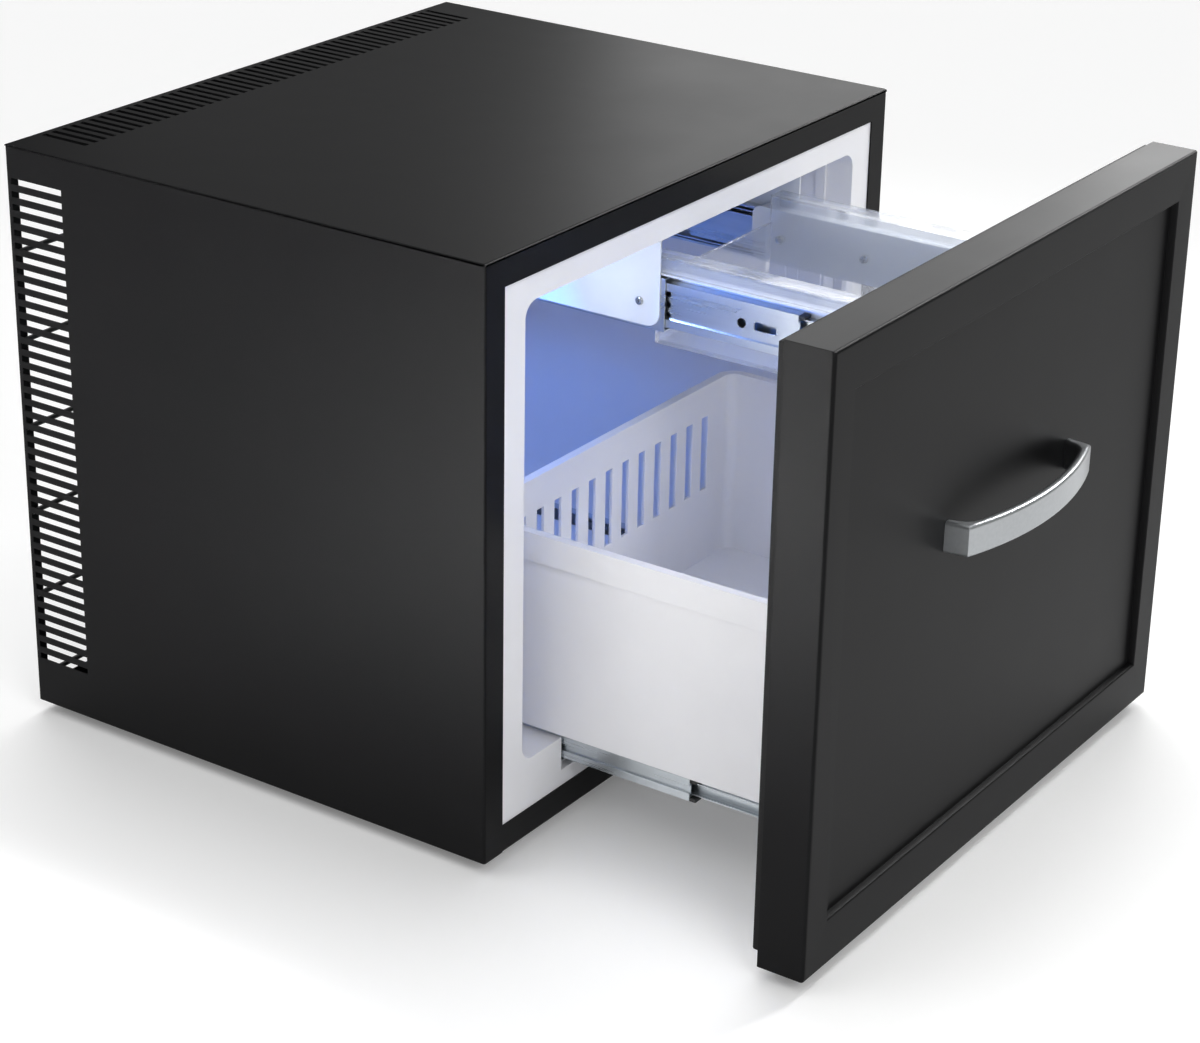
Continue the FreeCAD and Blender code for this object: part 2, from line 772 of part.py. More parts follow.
def rear_guard():
    """Rods across the open back, welded to two upright strips."""
    across = "cabinet_depth - sheet_metal - rod_radius"
    rods = []
    for index in range(int(number("rod_count"))):
        rod = new_body("guard_rod")
        outline = eight_sided(across, f"rod_first + {index} * rod_pitch", "rod_radius")
        pad(rod, "YZ_Plane", "-inner_half_width", "2 * inner_half_width", outline)
        rods.append(rod)
    for name, sign in SIDES:
        middle = side(sign, "stay_place")
        back = f"{across} - rod_radius + rod_weld"
        top = "rod_first + (rod_count - 1) * rod_pitch + stay_width"
        rods.append(box(
            "guard_stay", f"{middle} - stay_width / 2", f"{middle} + stay_width / 2",
            f"{back} - stay_thickness", back, "rod_first - stay_width", top,
        ))
    place("rear_guard", "cabinet", fuse("guard", rods))


def fixed_outline(base, sign, centre, half):
    """Section of a slide's fixed member: a channel whose lips keep the balls in."""
    points = [
        ("0", f"-({half})"),
        ("fixed_member_depth", f"-({half})"),
        ("fixed_member_depth", f"slide_steel + lip_height - ({half})"),
        ("fixed_member_depth - slide_steel", f"slide_steel + lip_height - ({half})"),
        ("fixed_member_depth - slide_steel", f"slide_steel - ({half})"),
        ("slide_steel", f"slide_steel - ({half})"),
    ]
    return mirrored_outline(base, sign, centre, points)


def middle_outline(base, sign, centre, half):
    """Section of a middle member: two ball tracks joined by a web that is set back between them."""
    points = [
        ("middle_outer_face", f"slide_steel + race_band - ({half})"),
        ("middle_outer_face", f"-({half})"),
        ("middle_member_end", f"-({half})"),
        ("middle_member_end", f"slide_steel - ({half})"),
        ("middle_outer_face + slide_steel", f"slide_steel - ({half})"),
        ("middle_outer_face + slide_steel", f"race_band - ({half})"),
        ("middle_web_face + slide_steel", f"race_band - ({half})"),
    ]
    closing = [("middle_web_face", f"slide_steel + race_band - ({half})")]
    return mirrored_outline(base, sign, centre, closing + points)


def drawer_outline(base, sign, centre, half):
    """Section of a drawer member: a channel that runs inside the middle member."""
    points = [
        ("slide_thickness", f"-({half})"),
        ("drawer_member_start", f"-({half})"),
        ("drawer_member_start", f"slide_steel - ({half})"),
        ("slide_thickness - slide_steel", f"slide_steel - ({half})"),
    ]
    return mirrored_outline(base, sign, centre, points)


def mirrored_outline(base, sign, centre, points):
    """Close a section from its lower half, which is given from the outside edge to the inside."""
    lower = [(f"{base} + {sign} * ({u})", f"{centre} + ({v})") for u, v in points]
    upper = [(f"{base} + {sign} * ({u})", f"{centre} - ({v})") for u, v in reversed(points)]
    return polygon(lower + upper)


def slide(name, base, sign, size):
    """One telescopic slide: fixed, middle and drawer members, with ball cages and end bumpers."""
    centre = f"{size}_slide_centre"
    fixed_half = f"{size}_slide_height / 2"
    middle_half = f"{fixed_half} - slide_steel - race_gap"
    drawer_half = f"{middle_half} - slide_steel - race_gap"

    fixed = new_body(f"{name}_fixed_member")
    section = fixed_outline(base, sign, centre, fixed_half)
    pad(fixed, "XZ_Plane", "slide_front", "slide_length", section)
    middle = new_body(f"{name}_middle_member")
    section = middle_outline(base, sign, centre, middle_half)
    pad(middle, "XZ_Plane", "slide_front", "slide_length", section)
    drawer = new_body(f"{name}_drawer_member")
    section = drawer_outline(base, sign, centre, drawer_half)
    pad(drawer, "XZ_Plane", "slide_front", "slide_length", section)
    if size == "upper":
        screw_holes(fixed, *span(base, sign, "0", "slide_steel"), "screw_first", "screw_pitch")
        member_windows(middle, base, sign, centre)
        web = span(base, sign, "slide_thickness - slide_steel", "slide_thickness")
        screw_holes(drawer, *web, "arm_screw_first", "arm_screw_pitch")
    place(f"{name}_fixed_member", "cabinet", fixed)
    place(f"{name}_middle_member", "middle_members", middle)
    place(f"{name}_drawer_member", "drawer", drawer)

    outer = ball_cages(
        f"{name}_outer", base, sign, centre, "middle_outer_face + cage_side_gap",
        "fixed_member_depth - slide_steel - cage_side_gap", middle_half,
    )
    inner = ball_cages(
        f"{name}_inner", base, sign, centre, "drawer_member_start + cage_side_gap",
        "middle_member_end - cage_side_gap", drawer_half,
    )
    bumpers = end_bumpers(name, base, sign, centre, middle_half, drawer_half)
    return {"outer": outer, "inner": inner, "bumpers": bumpers}


def span(base, sign, near_face, far_face):
    """The lower and upper X of something between two depths of a slide."""
    faces = [f"{base} + {sign} * ({near_face})", f"{base} + {sign} * ({far_face})"]
    return faces if sign > 0 else faces[::-1]


def screw_holes(body, low, high, first, pitch):
    """A row of screw holes through a sheet that lies between two places across the cabinet."""
    hole = eight_sided(first, "upper_slide_centre", "screw_radius + screw_clearance")
    drilled = pocket(body, "YZ_Plane", f"{low} - overrun", f"{high} - ({low}) + 2 * overrun", hole)
    repeat(body, drilled, "Y_Axis", "screw_count", pitch)


def member_windows(body, base, sign, centre):
    """The round window, the slot and the column of holes in a middle member's web."""
    low, high = span(base, sign, "middle_web_face", "middle_web_face + slide_steel")
    start = "slide_front + slot_setback"
    slot_low = f"{centre} - slot_height / 2"
    shapes = [
        circle("slide_front + window_setback", centre, "window_radius"),
        rectangle(start, f"{start} + slot_length", slot_low, f"{slot_low} + slot_height"),
    ]
    for step in (-1, 0, 1):
        level = f"{centre} + {step} * column_pitch"
        shapes.append(eight_sided("slide_front + column_setback", level, "column_radius"))
    pocket(body, "YZ_Plane", f"{low} - overrun", f"{high} - ({low}) + 2 * overrun", *shapes)


def ball_cages(name, base, sign, centre, near_face, far_face, half):
    """The two ball cages, over and under, that fill one race of a slide."""
    low, high = span(base, sign, near_face, far_face)
    front = "slide_front + (slide_length - cage_length) / 2"
    cages = []
    for level in (f"{centre} + {half} + race_clearance", f"{centre} - ({half}) - race_gap + race_clearance"):
        top = f"{level} + race_gap - 2 * race_clearance"
        cages.append(box(f"{name}_cage", low, high, front, f"{front} + cage_length", level, top))
    return cages


def end_bumpers(name, base, sign, centre, middle_half, drawer_half):
    """Plastic stops on the front end of a middle member, clear of the member that runs inside it."""
    low, high = span(base, sign, "middle_outer_face", "middle_member_end")
    gap = f"{drawer_half} + web_gap"
    stops = []
    for bottom, top in (
        (f"{centre} + {gap}", f"{centre} + {middle_half}"),
        (f"{centre} - ({middle_half})", f"{centre} - ({gap})"),
    ):
        front = "slide_front - bumper_length"
        stops.append(box(f"{name}_bumper", low, high, front, "slide_front", bottom, top))
    return stops


UPPER_BASE = {
    "left": "tray_centre - arm_spread - slide_thickness",
    "right": "tray_centre + arm_spread + slide_thickness",
}


def slides():
    """Four slides: two under the bin and two beside the tray."""
    made = {}
    for name, sign in SIDES:
        made[f"upper_{name}"] = slide(f"upper_{name}", UPPER_BASE[name], -sign, "upper")
        made[f"lower_{name}"] = slide(f"lower_{name}", side(sign, "channel_reach"), -sign, "lower")
    for size in ("upper", "lower"):
        pair = [made[f"{size}_left"], made[f"{size}_right"]]
        for race in ("outer", "inner"):
            cages = group(f"{size}_{race}_cage_group", [cage for part in pair for cage in part[race]])
            place(f"{size}_{race}_ball_cages", f"{race}_cages", cages)
        stops = group(f"{size}_bumper_group", [stop for part in pair for stop in part["bumpers"]])
        place(f"{size}_slide_bumpers", "middle_members", stops)


def lower_corner(at, along):
    return along_axis(along, "x") and near(at.z, "hanger_bottom")


def rear_corner(at, along):
    return along_axis(along, "x") and near(at.y, "arm_rear")


def hangers():
    """Steel angles that hang from the liner's ceiling and carry the upper slides, and their screws."""
    screws = []
    for name, sign in SIDES:
        base = UPPER_BASE[name]
        body = new_body(f"{name}_hanger")
        low, high = span(base, sign, "0", "hanger_sheet")
        plate = rectangle("hanger_front", "hanger_front + hanger_length", "hanger_bottom", "cavity_top")
        pad(body, "YZ_Plane", low, f"{high} - ({low})", plate)
        dress("Fillet", body, "hanger_corner", lower_corner)
        edge_low, edge_high = span(base, sign, "0", "hanger_flange")
        flange = rectangle(edge_low, edge_high, "hanger_front", "hanger_front + hanger_length")
        pad(body, "XY_Plane", "cavity_top - hanger_sheet", "hanger_sheet", flange)
        screw_holes(body, low, high, "screw_first", "screw_pitch")
        place(f"{name}_hanger", "cabinet", body)
        for index in range(int(number("screw_count"))):
            deep = f"screw_first + {index} * screw_pitch"
            screws.append(screw(base, sign, "-slide_steel", "hanger_sheet", deep))
    place("hanger_screws", "cabinet", group("hanger_screw_group", screws))


def screw(base, sign, tip, seat, deep):
    """A pan-head screw across a slide: its shank from tip to seat, and its head beyond the seat."""
    body = new_body("screw")
    low, high = span(base, sign, tip, seat)
    shank = eight_sided(deep, "upper_slide_centre", "screw_radius")
    pad(body, "YZ_Plane", low, f"{high} - ({low})", shank)
    low, high = span(base, sign, seat, f"{seat} + screw_head_height")
    head = eight_sided(deep, "upper_slide_centre", "screw_head_radius")
    pad(body, "YZ_Plane", low, f"{high} - ({low})", head)
    return body


def arms():
    """Painted plates on the upper drawer members, with a ledge over the slide and a front tab on the door."""
    screws = []
    for name, sign in SIDES:
        base = UPPER_BASE[name]
        body = new_body(f"{name}_arm")

        def across(depth):
            return f"{base} - {sign} * ({depth})"
        outline = polygon([
            (across("slide_thickness"), "door_back"),
            (across("slide_thickness + arm_flange"), "door_back"),
            (across("slide_thickness + arm_flange"), "door_back + arm_sheet"),
            (across("slide_thickness + arm_sheet"), "door_back + arm_sheet"),
            (across("slide_thickness + arm_sheet"), "arm_rear"),
            (across("slide_thickness"), "arm_rear"),
        ])
        pad(body, "XY_Plane", "arm_bottom", "arm_top - arm_bottom", outline)
        dress("Fillet", body, "arm_corner", rear_corner)
        ledge = rectangle(
            across("arm_ledge_gap"), across("slide_thickness + arm_sheet"),
            "door_back + arm_ledge_setback", "arm_rear - arm_corner",
        )
        pad(body, "XY_Plane", "arm_top - arm_sheet", "arm_sheet", ledge)
        low, high = span(base, -sign, "slide_thickness", "slide_thickness + arm_sheet")
        screw_holes(body, low, high, "arm_screw_first", "arm_screw_pitch")
        place(f"{name}_arm", "drawer", body)
        for index in range(int(number("screw_count"))):
            deep = f"arm_screw_first + {index} * arm_screw_pitch"
            tip = "slide_thickness - slide_steel"
            screws.append(screw(base, -sign, tip, "slide_thickness + arm_sheet", deep))
    place("arm_screws", "drawer", group("arm_screw_group", screws))


def brackets():
    """Steel angles on the lower drawer members: the bin stands on their upper legs."""
    for name, sign in SIDES:
        base = side(sign, "channel_reach")

        def across(depth):
            return f"{base} - {sign} * ({depth})"
        body = new_body(f"{name}_bin_bracket")
        outline = polygon([
            (across("slide_thickness"), "bin_bottom"),
            (across("slide_thickness"), "bin_bottom - bracket_drop"),
            (across("slide_thickness + bracket_sheet"), "bin_bottom - bracket_drop"),
            (across("slide_thickness + bracket_sheet"), "bin_bottom - bracket_sheet"),
            (across("slide_thickness + bracket_flange"), "bin_bottom - bracket_sheet"),
            (across("slide_thickness + bracket_flange"), "bin_bottom"),
        ])
        pad(body, "XZ_Plane", "door_back", "bin_rear - door_back", outline)
        place(f"{name}_bin_bracket", "drawer", body)


def bin_body():
    """The white moulded bin: a round-cornered box with an outer skirt and air slots in its rear wall."""
    body = new_body("bin")
    half = "bin_half - bin_skirt_reach"
    front = "bin_front + bin_skirt_reach"
    rear = "bin_rear - bin_skirt_reach"
    walls = rounded(f"-({half})", half, front, rear, "bin_corner - bin_skirt_reach")
    pad(body, "XY_Plane", "bin_bottom", "bin_height", walls)
    skirt = rounded("-bin_half", "bin_half", "bin_front", "bin_rear", "bin_corner")
    pad(body, "XY_Plane", "bin_rim - bin_skirt_height", "bin_skirt_height", skirt)
    inside = f"{half} - bin_wall"
    corner = "bin_corner - bin_skirt_reach - bin_wall"
    hollow = rounded(f"-({inside})", inside, f"{front} + bin_wall", f"{rear} - bin_wall", corner)
    pocket(body, "XY_Plane", "bin_bottom + bin_wall", "bin_height", hollow)
    first = "-(bin_slot_count - 1) * bin_slot_pitch / 2 - bin_slot_width / 2"
    high = "bin_rim - bin_slot_drop"
    slot = rectangle(first, f"{first} + bin_slot_width", f"{high} - bin_slot_length", high)
    cut_slot = pocket(body, "XZ_Plane", f"{rear} - bin_wall - overrun", "bin_wall + 2 * overrun", slot)
    repeat(body, cut_slot, "X_Axis", "bin_slot_count", "bin_slot_pitch")
    place("bin", "drawer", body)


def clear_tray():
    """The clear tray: a trough with turned-down side rims that stand on the arms, and two end walls."""
    body = new_body("clear_tray")
    rim_top = "arm_top + tray_rim_height"
    under = f"{rim_top} - tray_wall"
    floor = "tray_bottom + tray_wall"
    sides = []
    for name, sign in SIDES:
        wall = f"tray_{name}"
        sides.append({
            "lip": f"{wall} + {sign} * tray_rim_reach",
            "lip_inside": f"{wall} + {sign} * (tray_rim_reach - tray_wall)",
            "wall": wall,
            "inside": f"{wall} - {sign} * tray_wall",
        })
    left, right = sides
    outline = polygon([
        (left["lip"], "arm_top"), (left["lip"], rim_top), (left["inside"], rim_top), (left["inside"], floor),
        (right["inside"], floor), (right["inside"], rim_top), (right["lip"], rim_top),
        (right["lip"], "arm_top"),
        (right["lip_inside"], "arm_top"), (right["lip_inside"], under), (right["wall"], under),
        (right["wall"], "tray_bottom"), (left["wall"], "tray_bottom"), (left["wall"], under),
        (left["lip_inside"], under), (left["lip_inside"], "arm_top"),
    ])
    pad(body, "XZ_Plane", "tray_front", "tray_rear - tray_front", outline)
    ends = rectangle("tray_left", "tray_right", "tray_bottom", "arm_top - tray_end_drop")
    for front in ("tray_front", "tray_rear - tray_wall"):
        pad(body, "XZ_Plane", front, "tray_wall", ends)
    place("clear_tray", "drawer", body)


def door():
    """The insulated drawer front: stamped skin, foam core, inner panel and gasket."""
    skin = new_body("door_skin")
    slab = rectangle("-half_width", "half_width", "0", "cabinet_height")
    pad(skin, "XZ_Plane", "door_front", "door_thickness", slab)
    dress("Fillet", skin, "door_edge_radius", lambda at, along: near(at.y, "door_front"))
    recess = rectangle(
        "frame_side - half_width", "half_width - frame_side", "frame_bottom", "cabinet_height - frame_top",
    )
    stamped = pocket(skin, "XZ_Plane", "door_front", "recess_depth", recess)
    stamped.setExpression("TaperAngle", bound("-atan(recess_bevel / recess_depth)"))
    doc.recompute()
    low, high = number("frame_bottom - overrun"), number("cabinet_height - frame_top + overrun")
    side = number("half_width - frame_side + overrun")
    dress(
        "Chamfer", skin, "recess_edge_bevel",
        lambda at, along: near(at.y, "door_front") and abs(at.x) < side and low < at.z < high,
    )
    inside = rectangle(
        "door_skin - half_width", "half_width - door_skin", "door_skin", "cabinet_height - door_skin",
    )
    turned = "frame_side - recess_edge_bevel - door_skin"
    behind_recess = rectangle(
        f"{turned} - half_width", f"half_width - ({turned})",
        "frame_bottom - recess_edge_bevel - door_skin",
        "cabinet_height - frame_top + recess_edge_bevel + door_skin",
    )
    back_of_frame = "door_front + door_skin"
    back_of_recess = "recess_floor + door_skin"
    pocket(skin, "XZ_Plane", back_of_frame, "door_thickness - door_skin + overrun", inside, behind_recess)
    pocket(skin, "XZ_Plane", back_of_recess, "door_back - recess_floor - door_skin + overrun", inside)
    place("door_skin", "drawer", skin)

    core = new_body("door_foam")
    pad(core, "XZ_Plane", back_of_frame, "recess_depth", inside, behind_recess)
    pad(core, "XZ_Plane", back_of_recess, f"panel_front - ({back_of_recess})", inside)
    place("door_foam", "drawer", core)

    panel = new_body("door_inner_panel")
    pad(panel, "XZ_Plane", "panel_front", "door_panel", inside)
    place("door_inner_panel", "drawer", panel)

    gasket = new_body("door_gasket")
    outer = rectangle(
        "gasket_inset - half_width", "half_width - gasket_inset",
        "gasket_bottom_inset", "cabinet_height - gasket_inset",
    )
    inner = rectangle(
        "gasket_inset + gasket_width - half_width", "half_width - gasket_inset - gasket_width",
        "gasket_bottom_inset + gasket_width", "cabinet_height - gasket_inset - gasket_width",
    )
    pad(gasket, "XZ_Plane", "door_back", "gasket_thickness - gasket_gap", outer, inner)
    dress("Fillet", gasket, "gasket_round", lambda at, along: near(at.y, "-gasket_gap"))
    place("door_gasket", "drawer", gasket)


def handle():
    """A strap handle: two slanted legs and a bowed grip with crisp corners between them."""
    body = new_body("handle")

    def strap(sketch):
        half = "handle_span / 2"
        knee = f"{half} - leg_slant"
        grip = "recess_floor - leg_reach"
        legs = []
        for foot, corner, level in (
            (half, knee, grip),
            (f"{half} - strap_thickness", f"{knee} - strap_thickness", f"{grip} + strap_thickness"),
        ):
            start, end = (f"-({corner})", level), (corner, level)
            leg = sketch.addGeometry(Part.LineSegment(vector((f"-({foot})", "recess_floor")), vector(start)))
            crown = vector(("0", f"{level} - bow"))
            bowed = sketch.addGeometry(Part.Arc(vector(start), crown, vector(end)))
            other = sketch.addGeometry(Part.LineSegment(vector(end), vector((foot, "recess_floor"))))
            pin_point(sketch, leg, 1, (f"-({foot})", "recess_floor"))
            pin_point(sketch, leg, 2, start)
            pin_point(sketch, other, 1, end)
            pin_point(sketch, other, 2, (foot, "recess_floor"))
            radius = f"(({corner}) * ({corner}) + bow * bow) / (2 * bow)"
            index = sketch.addConstraint(Sketcher.Constraint("Radius", bowed, number(radius)))
            sketch.setExpression(f"Constraints[{index}]", bound(radius))
            ends = arc_ends(sketch, bowed, start)
            sketch.addConstraint(Sketcher.Constraint("Coincident", leg, 2, bowed, ends[0]))
            sketch.addConstraint(Sketcher.Constraint("Coincident", other, 1, bowed, ends[1]))
            legs.append((leg, other))
        (outer_left, outer_right), (inner_left, inner_right) = legs
        for outer, inner, end in ((outer_left, inner_left, 1), (outer_right, inner_right, 2)):
            foot = sketch.addGeometry(Part.LineSegment(
                sketch.getPoint(outer, end), sketch.getPoint(inner, end)))
            sketch.addConstraint(Sketcher.Constraint("Coincident", foot, 1, outer, end))
            sketch.addConstraint(Sketcher.Constraint("Coincident", foot, 2, inner, end))

    pad(body, "XY_Plane", "handle_centre - strap_width / 2", "strap_width", strap)
    inside = "recess_floor - leg_reach + strap_thickness"
    dress("Fillet", body, "knee_round", lambda at, along: along_axis(along, "z") and near(at.y, inside))
    foot = number("recess_floor - overrun")
    dress("Chamfer", body, "strap_bevel", lambda at, along: at.y < foot and not along_axis(along, "z"))
    place("handle", "drawer", body)


def arc_ends(sketch, arc, start):
    """The numbers of an arc's two ends, the one at the start point first."""
    at_start = (sketch.getPoint(arc, 1) - vector(start)).Length < number("overrun")
    return (1, 2) if at_start else (2, 1)


def cooling_unit():
    """An absorption unit in the rear duct: vessel, boiler, coil and condenser, joined by tubes."""
    vessel = new_body("absorber_vessel")
    drum = circle("unit_plane", "vessel_centre", "vessel_radius")
    pad(vessel, "YZ_Plane", "vessel_left", "vessel_length", drum)
    place("absorber_vessel", "cabinet", vessel)

    cradles = []
    for name, sign in SIDES:
        low = f"vessel_offset + {sign} * cradle_spread - cradle_width / 2"
        high = f"{low} + cradle_width"
        block = box(
            "cradle_block", low, high, "unit_plane - cradle_depth / 2", "unit_plane + cradle_depth / 2",
            "sheet_metal", "vessel_centre",
        )
        start = (low, "unit_plane", "vessel_centre")
        bed = cylinder("cradle_bed", "x", start, "vessel_radius", "cradle_width")
        cradles.append(cut("cradle", block, [bed]))
    place("vessel_cradles", "cabinet", group("cradle_group", cradles))

    boiler = new_body("boiler")
    drum = circle("boiler_place", "unit_plane", "boiler_radius")
    pad(boiler, "XY_Plane", "boiler_bottom", "boiler_height", drum)
    place("boiler", "cabinet", boiler)

    feed = [
        ("vessel_right", "unit_plane", "vessel_centre"),
        ("boiler_place", "unit_plane", "vessel_centre"),
        ("boiler_place", "unit_plane", "boiler_bottom"),
    ]
    place("boiler_feed_tube", "cabinet", tube("feed", feed))

    condenser = [
        ("boiler_place", "unit_plane", "boiler_bottom + boiler_height"),
        ("boiler_place", "unit_plane", "condenser_level"),
        ("inlet_tube_place", "unit_plane", "condenser_level"),
        ("inlet_tube_place", "unit_plane", "inlet_tube_level"),
        ("inlet_tube_place", "rear_wall_back", "inlet_tube_level"),
    ]
    place("condenser_tube", "cabinet", tube("condenser", condenser))

    fins = []
    for index in range(int(number("fin_count"))):
        low = f"fin_start + {index} * fin_pitch"
        plate = box(
            "fin_plate", low, f"{low} + fin_sheet", "unit_plane - fin_size / 2", "unit_plane + fin_size / 2",
            "condenser_level - fin_size / 2", "condenser_level + fin_size / 2",
        )
        bore = box(
            "fin_bore", low, f"{low} + fin_sheet", "unit_plane - tube_radius", "unit_plane + tube_radius",
            "condenser_level - tube_radius", "condenser_level + tube_radius",
        )
        fins.append(cut("fin", plate, [bore]))
    place("condenser_fins", "cabinet", group("fin_group", fins))

    coil = [
        ("return_tube_place", "rear_wall_back", "return_tube_level"),
        ("return_tube_place", "unit_plane", "return_tube_level"),
    ]
    ends = ("coil_left", "coil_right")
    for run in range(int(number("coil_runs"))):
        level = f"return_tube_level - {run} * coil_pitch"
        if run:
            coil.append((ends[(run + 1) % 2], "unit_plane", level))
        coil.append((ends[run % 2], "unit_plane", f"{level} - coil_fall"))
    coil.append(("coil_left", "unit_plane", "vessel_centre"))
    coil.append(("vessel_left", "unit_plane", "vessel_centre"))
    place("absorber_coil", "cabinet", tube("coil", coil))

    evaporator = new_body("evaporator")
    left = "-evaporator_width / 2"
    top = "evaporator_bottom + evaporator_height"
    plate = rectangle(left, "evaporator_width / 2", "evaporator_bottom", top)
    pad(evaporator, "XZ_Plane", "cavity_depth - evaporator_plate", "evaporator_plate", plate)
    blade = rectangle(left, f"{left} + evaporator_fin", "evaporator_bottom", top)
    front = "cavity_depth - evaporator_plate - evaporator_fin_depth"
    fin = pad(evaporator, "XZ_Plane", front, "evaporator_fin_depth", blade)
    pitch = "(evaporator_width - evaporator_fin) / (evaporator_fin_count - 1)"
    repeat(evaporator, fin, "X_Axis", "evaporator_fin_count", pitch)
    place("evaporator", "cabinet", evaporator)

    stubs = wall_tubes("evaporator_tube", "tube_radius", "rear_wall_back")
    place("evaporator_tubes", "cabinet", group("stub_group", stubs))


def electrics():
    """The terminal box on the rear wall, with a power inlet let into its back."""
    right = "inner_half_width - terminal_side_gap"
    left = f"{right} - terminal_width"
    back = "rear_wall_back + terminal_depth"
    start = f"{left} + (terminal_width - inlet_width) / 2"
    low = "terminal_bottom + inlet_drop"
    shell = rectangle(start, f"{start} + inlet_width", low, f"{low} + inlet_height")
    body = new_body("terminal_box")
    top = "terminal_bottom + terminal_height"
    outline = rounded(left, right, "terminal_bottom", top, "terminal_round")
    pad(body, "XZ_Plane", "rear_wall_back", "terminal_depth", outline)
    pocket(body, "XZ_Plane", f"{back} - inlet_body", "inlet_body + overrun", shell)
    place("terminal_box", "cabinet", body)

    inlet = new_body("power_inlet")
    pad(inlet, "XZ_Plane", f"{back} - inlet_body", "inlet_body", shell)
    rim = rectangle(
        f"{start} - inlet_rim", f"{start} + inlet_width + inlet_rim",
        f"{low} - inlet_rim", f"{low} + inlet_height + inlet_rim",
    )
    pad(inlet, "XZ_Plane", back, "inlet_rim_thickness", rim)
    socket = rectangle(
        f"{start} + inlet_wall", f"{start} + inlet_width - inlet_wall",
        f"{low} + inlet_wall", f"{low} + inlet_height - inlet_wall",
    )
    floor = f"{back} - inlet_body + inlet_wall"
    depth = "inlet_body - inlet_wall + inlet_rim_thickness + overrun"
    pocket(inlet, "XZ_Plane", floor, depth, socket)
    pins = []
    for step, level in ((-1, "-pin_drop"), (0, "pin_drop"), (1, "-pin_drop")):
        across = f"{start} + inlet_width / 2 + {step} * pin_spread"
        middle = f"{low} + inlet_height / 2 + {level}"
        pins.append(rectangle(
            f"{across} - pin_width / 2", f"{across} + pin_width / 2",
            f"{middle} - pin_height / 2", f"{middle} + pin_height / 2",
        ))
    pad(inlet, "XZ_Plane", floor, "pin_length", *pins)
    place("power_inlet", "cabinet", inlet)


def lamp():
    """The lamp under the liner's ceiling: a base plate and a round-edged lens."""
    back = "lamp_front + lamp_length"
    base = new_body("lamp_base")
    low = "cavity_top - lamp_base"
    plate = rounded("lamp_left", "lamp_right", "lamp_front", back, "lamp_round")
    pad(base, "XY_Plane", low, "lamp_base", plate)
    place("lamp_base", "cabinet", base)
    lens = new_body("lamp_lens")
    outline = rectangle(
        "lamp_left + lamp_lens_inset", "lamp_right - lamp_lens_inset",
        "lamp_front + lamp_lens_inset", f"{back} - lamp_lens_inset",
    )
    pad(lens, "XY_Plane", f"{low} - lamp_lens", "lamp_lens", outline)
    dress("Chamfer", lens, "lens_bevel", lambda at, along: not near(at.z, low))
    place("lamp_lens", "cabinet", lens)


def check_and_write():
    """Stop on any failed object or bad shape, then write one file for each piece."""
    doc.recompute()
    failed = [item.Name for item in doc.Objects if {"Invalid", "Error"} & set(item.State)]
    if failed:
        raise RuntimeError(f"objects failed: {failed}")
    for node, solid in nodes.items():
        if solid.Shape.isNull() or not solid.Shape.isValid() or not solid.Shape.Solids:
            raise RuntimeError(f"{node} has no valid solid")
    os.makedirs("parts", exist_ok=True)
    for node, solid in nodes.items():
        solid.Shape.exportStep(f"parts/{node}.step")


for name, sign in SIDES:
    side_panel(name, sign)
top_panel()
base_panel()
feet()
inner_liner()
foam_insulation()
rear_wall()
rear_guard()
cooling_unit()
electrics()
lamp()
hangers()
slides()
arms()
brackets()
bin_body()
clear_tray()
door()
handle()
check_and_write()
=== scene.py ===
import bpy
import json
import math
from mathutils import Matrix, Vector

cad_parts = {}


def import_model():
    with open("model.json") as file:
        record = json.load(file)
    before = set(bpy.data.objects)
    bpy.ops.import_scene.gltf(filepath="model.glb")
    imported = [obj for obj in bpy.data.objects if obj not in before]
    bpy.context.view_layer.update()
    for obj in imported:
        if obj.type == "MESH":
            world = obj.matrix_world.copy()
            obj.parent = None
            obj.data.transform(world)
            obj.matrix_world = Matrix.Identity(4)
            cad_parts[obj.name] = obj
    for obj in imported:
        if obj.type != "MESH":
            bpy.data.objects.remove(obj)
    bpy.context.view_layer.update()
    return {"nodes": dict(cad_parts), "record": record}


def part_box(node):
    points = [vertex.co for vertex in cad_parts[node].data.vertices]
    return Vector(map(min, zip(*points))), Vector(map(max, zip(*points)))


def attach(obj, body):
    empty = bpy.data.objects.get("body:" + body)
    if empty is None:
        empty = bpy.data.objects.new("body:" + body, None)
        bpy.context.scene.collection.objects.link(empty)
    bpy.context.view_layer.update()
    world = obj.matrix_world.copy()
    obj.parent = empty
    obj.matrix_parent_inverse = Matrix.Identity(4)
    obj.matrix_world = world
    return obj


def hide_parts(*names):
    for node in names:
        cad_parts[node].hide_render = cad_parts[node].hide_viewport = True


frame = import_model()

MM = 0.001
X, Y, Z = range(3)
RECORD = frame["record"]
SLOT_OF = {part["node"]: part["material_slot"] for part in RECORD["subparts"]}
BODY_OF = {node: body for body, nodes in RECORD["behaviour"]["bodies"].items() for node in nodes}


# Materials

WHITE = "#ffffff"
CLOUD_DETAIL = 3
GRAIN_DETAIL = 2
# The colour sockets of a mix node, by number because other sockets share their names
MIX_FACTOR, MIX_FIRST, MIX_SECOND, MIX_RESULT = 0, 6, 7, 2


def linear(code):
    """An sRGB hex colour as linear red, green, blue and alpha."""
    shades = [int(code[at:at + 2], 16) / 255 for at in (1, 3, 5)]
    return [s / 12.92 if s <= 0.04045 else ((s + 0.055) / 1.055) ** 2.4 for s in shades] + [1]


def spread(millimetres):
    """The scale of a pattern whose features are this wide."""
    return 1 / (millimetres * MM)


